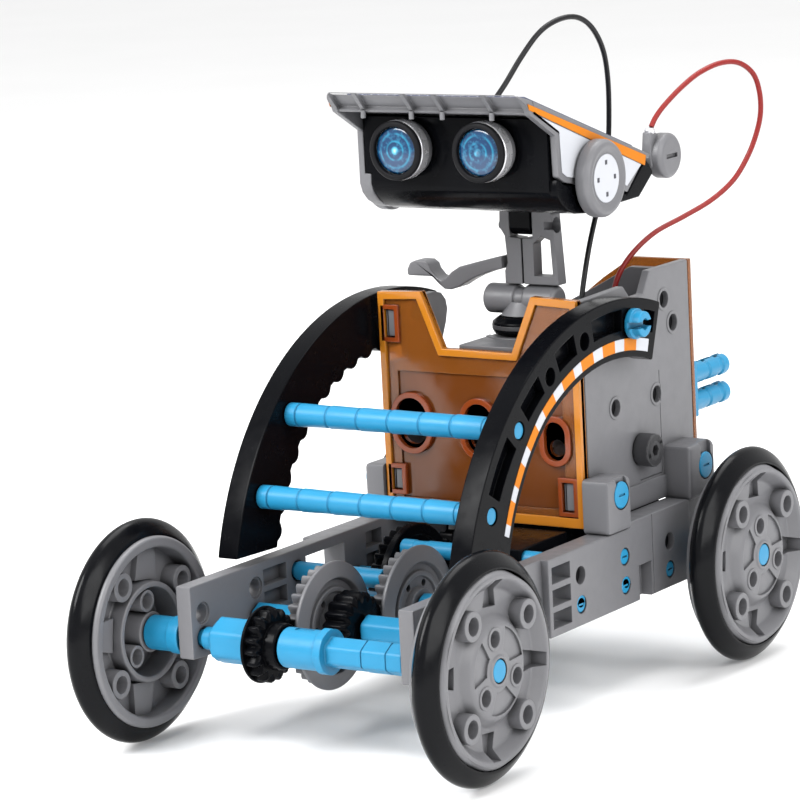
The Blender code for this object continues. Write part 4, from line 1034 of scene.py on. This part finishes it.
def neck():
    disc = softened([(94.1, 0.1), (94.1, 8.4), (95.2, 9.2), (97.6, 9.2), (99, 7.2), (99, 0.1)], 0.5)
    mould("neck_disc", turned("Z", 0, NECK_Y, disc, 64), BLACK)
    ring = turned("Z", 0, NECK_Y, [(95.9, 9), (95.7, 9.28), (96.9, 9.28), (96.7, 9)], 64, True)
    show("neck_ring", ring, DARK_GREY)

    profile = capped([(-11.6, 3.2), (-10.8, 4.2), (-1.6, 4.2), (-1.4, 3.4), (1.4, 3.4), (1.6, 4.2), (10.8, 4.2),
                      (11.6, 3.2)], 0.5)
    foot = turned("Z", 0, NECK_Y, [(99.3, 6.6), (101, 5.4), (103, 4.4)], 48)
    mould("neck_knuckle", carved(turned("X", NECK_Y, KNUCKLE_Z, profile, 48), [foot]), GREY, "neck")
    low = 107.8
    plate = (NECK_Y - 2, NECK_Y + 2.4)
    right = [
        (0.9, low), (0.9, 120.6), (-2.6, 121), (-2.6, 127.9), (-3.1, 128.4), (-5.4, 128.4), (-5.8, 127.9),
        (-6, 123.6), (-4.4, 121.2), (-3.8, 113.6), (-4.8, 111.4), (-4.8, low),
    ]
    left = [
        (1.3, low), (1.3, 120.6), (4.6, 121), (4.6, 127.9), (5.1, 128.4), (10.6, 128.4), (11.4, 127.6), (12.6, low),
    ]
    slot = prism("Y", [(4.8, 110.2), (10.9, 110.2), (10.4, 120.4), (7.4, 121.4), (4.8, 119.2)], 100, 125)
    clip = rod("X", NECK_Y, 124.4, 2.2, 8.6, 14, 24)
    mouth = box(8.6, 14, NECK_Y - 3, NECK_Y, 123.4, 125.4)
    pins = rod("X", NECK_Y, TILT_Z, 1.5, -20, 0, 24)
    bm = carved(prism("Y", right, *plate, 0.35), cut=[pins])
    mould("neck_half_right", bm, GREY, "neck")
    pin = rod("X", NECK_Y, TILT_Z, 1.2, -6.6, 8, 24)
    bm = carved(prism("Y", left, *plate, 0.35), [pin], [slot, clip, mouth])
    mould("neck_half_left", bm, GREY, "neck")

    lever = [
        (-5, 115.6), (-5, 112), (-8.2, 111.3), (-13.9, 109.3), (-17, 107.8), (-19.7, 106.2), (-22.4, 105.4),
        (-24.6, 105.5), (-26.4, 106.8), (-28.6, 108.9), (-36.8, 108.9), (-36.8, 110.7), (-35.8, 112.6),
        (-33.8, 113.3), (-30.7, 113.2), (-29.3, 112.2), (-28.8, 110.8), (-27.2, 109), (-25.4, 108.2), (-24, 108.6),
        (-22.1, 110.4), (-19.4, 112), (-12.4, 113.8),
    ]
    bm = prism("Y", lever, NECK_Y - 3, NECK_Y + 3, 0.6)
    mould("neck_lever", bm, GREY, "neck")


# Head.


def head_tray():
    roof = [ROOF_FRONT, (69.3, 160), (71.2, 161.8), (128.6, 141.2), ROOF_BACK]
    base = prism("X", roof, -FAR_HALF, HEAD_HALF, 0.4)
    visor, tail = [(66.4, 164.8), (68.4, 160.2)], [(114.4, 134.4), (116.4, 133.6), (127.6, 142.9)]
    cheek = [*visor, (80.4, 153.4), (80.8, 142.4), (84, 140.6), (90.4, 139.2), *tail]
    far_cheek = [
        *visor, (79.6, 153.8), (79.6, 139.2), (80.6, 136.6), (83, 134.2), (86.5, 132.4), (90.4, 131.5), (95, 130.8),
        (97, 130.8), (97, 137.9), *tail,
    ]
    corner = [*far_cheek[3:10], (97, 142.1), (79.6, 142.1)]
    add = [
        prism("X", cheek, HEAD_HALF - 2, HEAD_HALF, 0.4), prism("X", far_cheek, -FAR_HALF, 2 - FAR_HALF, 0.4),
        prism("X", corner, -FAR_HALF, 4 - FAR_HALF, 0.5),
    ]
    # The visor's front is sunk between its ribs, top and bottom borders.
    ribs = (-FAR_HALF + 1.2, -20.4, -4.9, 4.9, 20.4, HEAD_HALF - 1.2)
    cut = []
    for low, high in zip(ribs, ribs[1:]):
        pocket = [(63.2, 165.3), (67.9, 160.1), (69.6, 161.7), (65.3, 166.3)]
        cut.append(prism("X", pocket, low + 0.6, high - 0.6, 0.3))
    # Its two top corners are rounded in the plane of its sloping face.
    for side in (1, -1):
        half = HEAD_HALF if side > 0 else FAR_HALF
        x0, x1 = sided(side, half - CORNER_RADIUS, half + 1)
        low = 166.4 - CORNER_RADIUS
        corner = box(x0, x1, 61, 70, low, 168)
        keep = rod("Y", side * (half - CORNER_RADIUS), low, CORNER_RADIUS, 60, 71, 32)
        cut.append(carved(corner, cut=[keep]))
    mould("head_tray", carved(base, add, cut), GREY, "head")
    pegs = [rod("Z", x, 68.6, 0.7, 158.6, 160.8, 16, 0.15) for x in (-20.4, -4.9, 4.9, 20.4)]
    show("head_tray_pegs", joined(pegs), GREY, "head")


def head_case():
    inner, far_inner = HEAD_HALF - 2 - GAP, FAR_HALF - 2 - GAP
    chin = [(95, 130.8), (89.6, 131.4), (85.4, 132.8), (82.2, 135.2), (80.4, 137.2)]
    heel = [(128, 140.9), (131.4, 137.2), (123.2, 131.4)]
    outline = [(79.5, 139), (79.5, 158), *heel, *chin]
    rear = [(114.4, 133.9), (116.4, 133.1), (126.9, 141.2), *heel]
    skirt = [(80.2, 139.6), (80.9, 141.8), (84.1, 140.1), (90.5, 138.7), *rear, *chin]
    back = [(97.6, 130.8), (97.6, 137), *rear]
    hollow = [(81.5, 136.4), (81.5, 165), (126, 148), (126, 136.4), (121, 133.8), (88, 133.8)]
    tongue = [(NECK_Y - 2.5, 133), (NECK_Y - 2.5, TILT_Z)]
    tongue += [
        (NECK_Y - 2.5 * cos(a), TILT_Z - 2.5 * sin(a))
        for a in (pi * n / 16 for n in range(1, 16))
    ]
    tongue += [(NECK_Y + 2.5, TILT_Z), (NECK_Y + 2.5, 133)]
    eye_holes = [rod("Y", s * EYE_X, EYE_Z, 5.1, 75, 90, 32) for s in (1, -1)]
    sides = [prism("X", skirt, inner - 1, HEAD_HALF - GAP, 0.5), prism("X", back, GAP - FAR_HALF, 1 - far_inner, 0.5)]
    corner = box(-FAR_HALF - 1, 4 - FAR_HALF + GAP, 70, 97 + GAP, 120, 142.1 + GAP)
    cut = [prism("X", hollow, -far_inner + 4, inner - 2), *eye_holes, corner]
    case = carved(prism("X", outline, -far_inner, inner, 0.4), sides, cut)
    bm = carved(case, [prism("X", tongue, -2.3, 4.3, 0.3)], [rod("X", NECK_Y, TILT_Z, 1.5, -6, 6, 24)])
    mould("head_case", bm, BLACK, "head")


def eyes():
    for name, side in SIDES:
        x = side * EYE_X
        barrel = [
            (73.2, 6.8), (73.2, EYE_RADIUS - 0.2), (73.5, EYE_RADIUS), (76.6, EYE_RADIUS), (76.9, EYE_RADIUS - 0.3),
            (76.9, 4.7), (88, 4.7), (88, 3.4), (75.4, 3.4), (75.4, 6.8),
        ]
        show(f"eye_{name}_barrel", ringed("Y", x, EYE_Z, barrel, 0.2), SILVER, "head", [f"eye_{name}"])
        collar = [(77, 4.8), (77, EYE_RADIUS - 0.4), (79.1, EYE_RADIUS - 0.6), (79.1, 4.8)]
        show(f"eye_{name}_collar", ringed("Y", x, EYE_Z, collar, 0.25), GREY, "head")
        ring = [
            (71.6, EYE_RADIUS - 0.7), (72, EYE_RADIUS - 0.1), (73.1, EYE_RADIUS - 0.1), (73.1, 6.6), (72.6, 6.5),
            (71.9, 6.5), (71.6, 6.7),
        ]
        show(f"eye_{name}_bezel", ringed("Y", x, EYE_Z, ring, 0.25), BEZEL, "head")
        dome = [(75.1, 0.1), (75.1, LENS_RADIUS - 0.1)]
        for n in range(12):
            a = pi / 2 * n / 12
            dome.append((72.9 - 0.8 * sin(a), (LENS_RADIUS - 0.1) * cos(a)))
        lens = turned("Y", x, EYE_Z, [*dome, (72.1, 0.1)], 64)
        show(f"lens_{name}_dome", lens, lens_look(f"lens_{name}", x), "head", [f"lens_{name}"])


def ears():
    for name, side in SIDES:
        face = (HEAD_HALF if side > 0 else FAR_HALF) + GAP
        profile = [(face, 0.1), (face, 9.4), (face + 0.6, EAR_RADIUS), (face + 3.4, EAR_RADIUS), (face + 4.6, 9.6),
                   (face + 4.8, 8.6), (face + 4.1, 7.2), (face + 4.1, 0.1)]
        disc = turned("X", EAR_Y, EAR_Z, softened([(side * x, r) for x, r in profile], 0.4), 64)
        mould(f"ear_{name}", disc, GREY, "head")
        top = face + 4.1
        label = turned("X", EAR_Y, EAR_Z, [(side * (top + 0.02), 6.6), (side * (top + 0.14), 6.5)], 48)
        show(f"ear_{name}_label", label, STICKER_WHITE, "head")
        marks = []
        for n in range(4):
            a = radians(90 * n)
            y, z = EAR_Y + 4.3 * cos(a), EAR_Z + 4.3 * sin(a)
            marks.append(box(*sided(side, top + 0.12, top + 0.24), y - 0.5, y + 0.5, z - 0.6, z + 0.6))
        show(f"ear_{name}_marks", joined(marks), STICKER_INK, "head")


def roof_z(y, lift):
    """How high the head's sloping roof is, plus lift."""
    (y0, z0), (y1, z1) = ROOF_FRONT, ROOF_BACK
    return z0 + (y - y0) * (z1 - z0) / (y1 - y0) + lift


def roof_points(*points):
    return [(y, roof_z(y, lift)) for y, lift in points]


def head_stickers():
    """A white panel with an orange stripe under the roof line, on both cheeks."""
    stripe = roof_points((67, -1.5), (67.6, -3), (126, -4), (126.8, -1))
    white = [
        *roof_points((69.5, -3.4)), (69.9, 161.2), (82, 154.4), (82.6, 143.4), (85.2, 141.9), (91, 140.8),
        (114.8, 136), (116, 135.4), *roof_points((124, -4.2)),
    ]
    for name, side in SIDES:
        half = HEAD_HALF if side > 0 else FAR_HALF
        skin = sided(side, half + 0.02, half + SKIN + 0.02)
        show(f"head_stripe_{name}", prism("X", stripe, *skin), STICKER_ORANGE, "head")
        show(f"head_side_{name}", prism("X", white, *skin), STICKER_WHITE, "head")


def solar_panel():
    plate = prism("X", roof_points((70.4, GAP), (71.6, 1.5), (126, 1.5), (126, GAP)), -27.4, 29, 0.2)
    shallow = roof_points((69, 1.2), (69, 3), (127, 3), (127, 1.2))
    cuts = [prism("X", shallow, x - 0.25, x + 0.25) for x in (-19.4, -9.7, 0, 9.7, 19.4)]
    show("solar_panel_cells", carved(plate, cut=cuts), solar_look(), "head", ["solar_panel"])


def terminal_knob():
    profile = [(28.6, 0.1), (28.6, 5.4), (29.4, 6.3), (32.8, 6.3), (33.8, 5.2), (33.8, 0.1)]
    knob = turned("X", *KNOB, softened(profile, 0.5), 48)
    plate = [(132.4, 143), (132.4, 138.6), (136, 137), (138.4, 143), (136.6, 147.4), (133.2, 148)]
    bracket = prism("X", plate, 28, 31, 0.5)
    slot = box(33, 35, KNOB[0] - 3, KNOB[0] + 3, KNOB[1] - 0.6, KNOB[1] + 0.6)
    bm = carved(knob, [bracket], [slot])
    mould("terminal_knob", bm, GREY, "head")
    lug = turned("Z", 29.6, 134.6, [(147.4, 0.1), (147.4, 1.4), (148.4, 1.6), (149, 1.1), (149, 0.1)], 24)
    show("terminal_lug", lug, SILVER, "head")


def head():
    head_tray()
    head_case()
    eyes()
    ears()
    head_stickers()
    solar_panel()
    terminal_knob()


# Wires.

WIRE_RADIUS = 0.75
WIRES = {
    "black_wire": (
        (10.4, 84.6, 161.1), (11.2, 86.2, 163), (12.4, 89.2, 166.4), (14.7, 93.5, 172.6), (17.1, 98.5, 178.3),
        (18.8, 104, 181.1), (20.2, 110.5, 181.9), (21.1, 116, 180.5), (21.2, 121.5, 176.8), (20.4, 127.2, 170.5),
        (18.4, 132.2, 161.8), (16.4, 135.2, 151), (15.5, 135.3, 142.4), (15.2, 132.5, 133), (15.2, 128, 125.1),
        (15.6, 123.5, 118), (16, 119.6, 110.5), (16, 117, 102.5), (16, 116, 94.6),
    ),
    "red_wire": (
        (30, 134.9, 149.2), (30.4, 136.8, 151.6), (31.4, 140.2, 154.6), (33.4, 146.2, 158.8), (35.7, 152.8, 162.3),
        (38.2, 160.4, 164.2), (40.4, 167, 163.6), (41.9, 172.4, 160), (42.1, 175.4, 154.6), (41.5, 176.8, 148.6),
        (40.2, 176.6, 143), (38.2, 174.8, 136.6), (35.6, 170.4, 130), (32.1, 163.5, 125.1), (27.6, 155.4, 121.4),
        (23.2, 147, 118.1), (20, 140.4, 113.6), (17.8, 135.8, 108.4), (16.6, 133.6, 102.6), (16, 133, 94.6),
    ),
}
# The route's point at which a wire's lower part ends and its upper part starts.
WIRE_SPLITS = {"black_wire": 12, "red_wire": 6}
ROUTE_STEPS = 8


def smooth_route(points):
    """A smooth curve through the points, with ROUTE_STEPS steps from each to the next."""
    route = []
    padded = [points[0], *points, points[-1]]
    for p0, p1, p2, p3 in zip(padded, padded[1:], padded[2:], padded[3:]):
        for i in range(ROUTE_STEPS):
            t = i / ROUTE_STEPS
            route.append(0.5 * (2 * p1 + (p2 - p0) * t + (2 * p0 - 5 * p1 + 4 * p2 - p3) * t * t
                                + (3 * p1 - p0 - 3 * p2 + p3) * t**3))
    route.append(points[-1])
    return route


def tube(route, radius, sides=12):
    """A round tube along the route, with flat ends."""
    rings = []
    normal = Vector((1, 0, 0))
    for i, co in enumerate(route):
        ahead = (route[min(i + 1, len(route) - 1)] - route[max(i - 1, 0)]).normalized()
        normal = (normal - ahead * normal.dot(ahead)).normalized()
        across = ahead.cross(normal)
        rings.append([
            co + (normal * cos(a) + across * sin(a)) * radius
            for a in (2 * pi * k / sides for k in range(sides))
        ])
    return skinned(rings)


def path_length(route):
    return sum((b - a).length for a, b in zip(route, route[1:]))


def wires():
    for name, look in (("black_wire", WIRE_BLACK), ("red_wire", WIRE_RED)):
        route = smooth_route([place(*p) for p in WIRES[name]])
        split = WIRE_SPLITS[name] * ROUTE_STEPS
        upper, lower = route[: split + 1], route[split:][::-1]
        for word, path, blend in (
            ("upper", upper, ("neck", "head", upper[-1], upper[len(upper) // 3])),
            ("lower", lower, ("chassis", "neck", place(WIRE_X, 120, 100), place(WIRE_X, 130, 140))),
        ):
            mesh = mesh_of(f"{name}_{word}", tube(path, WIRE_RADIUS * MM))
            obj = linked(f"{name}_{word}", mesh)
            mesh.materials.append(look)
            smoothed(mesh, WIRE_SMOOTH_ANGLE)
            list(blend)
            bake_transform(obj)
            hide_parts(name)
            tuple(path[0])
            path_length(path)
            [list(p) for p in path]


# Carried-over nodes.

CARRIED = {
    "chassis_base": BLACK, "motor": STEEL, "motor_pinion": BRASS, "reduction_gear": WHITE, "transfer_gear": WHITE,
    "output_shaft": DARK_GREY,
}


def carried():
    for node, look in CARRIED.items():
        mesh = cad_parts[node].data
        mesh.materials.clear()
        mesh.materials.append(look)


# Stage.


CAMERA_ANGLES = (34.13, 10.34, -2.97)  # azimuth, elevation and roll
CAMERA_POINT = (565.95, -785.98, 270.38)
SENSOR, LENS = 36, 174.26
LIGHTS = (  # name, where it is and what it points at, size, power
    ("key", (-0.35, -0.75, 0.75), (0, 0, 0.08), 0.5, 14),
    ("side", (0.95, -0.25, 0.55), (0, 0, 0.08), 0.7, 8),
    ("top", (0, 0.35, 1), (0, 0, 0.05), 0.7, 8),
)
FLOOR_HALF, FLOOR_Z = 2.5, -0.0002


def camera():
    data = bpy.data.cameras.new("camera")
    obj = linked("camera", data)
    azimuth, elevation, roll = (radians(a) for a in CAMERA_ANGLES)
    flat = cos(elevation)
    back = Vector((sin(azimuth) * flat, -cos(azimuth) * flat, sin(elevation)))
    level = Vector((cos(azimuth), sin(azimuth), 0))
    upright = back.cross(level)
    right = level * cos(roll) + upright * sin(roll)
    up = upright * cos(roll) - level * sin(roll)
    matrix = Matrix((right, up, back)).transposed().to_4x4()
    matrix.translation = place(*CAMERA_POINT)
    obj.matrix_world = matrix
    data.sensor_width, data.lens = SENSOR, LENS
    data.clip_start, data.clip_end = 0.05, 20
    bpy.context.scene.camera = obj


def stage():
    floor = bmesh.new()
    corners = ((-1, -1), (1, -1), (1, 1), (-1, 1))
    floor.faces.new([floor.verts.new((x * FLOOR_HALF, y * FLOOR_HALF, FLOOR_Z)) for x, y in corners])
    obj = linked("floor", mesh_of("floor", floor))
    look, tree, shader = shader_of("floor")
    tone = mix(tree, noise(tree, 8), (0.86, 0.86, 0.86), (0.9, 0.9, 0.9))
    feed(tree, shader, {"Base Color": tone, "Roughness": 0.7})
    obj.data.materials.append(look)
    world = bpy.data.worlds.new("studio")
    world.use_nodes = True
    background = world.node_tree.nodes["Background"]
    feed(world.node_tree, background, {"Color": (1, 1, 1, 1), "Strength": 1})
    bpy.context.scene.world = world
    bpy.context.scene.view_settings.view_transform = "Standard"
    for name, position, target, size, power in LIGHTS:
        data = bpy.data.lights.new(name, "AREA")
        data.size, data.energy = size, power
        light = linked(name, data)
        light.location = position
        light.rotation_mode = "QUATERNION"
        light.rotation_quaternion = (Vector(target) - Vector(position)).to_track_quat("-Z", "Y")


def main():
    camera()
    wires()
    for name, side, y, body in (
        ("front_left", 1, 0, "front_wheels"), ("front_right", -1, 0, "front_wheels"),
        ("rear_left", 1, REAR_Y, "rear_wheels"), ("rear_right", -1, REAR_Y, "rear_wheels"),
    ):
        wheel(name, side, y, body)
    axles()
    gears()
    chassis()
    housing()
    fenders()
    neck()
    head()
    carried()
    stage()


main()
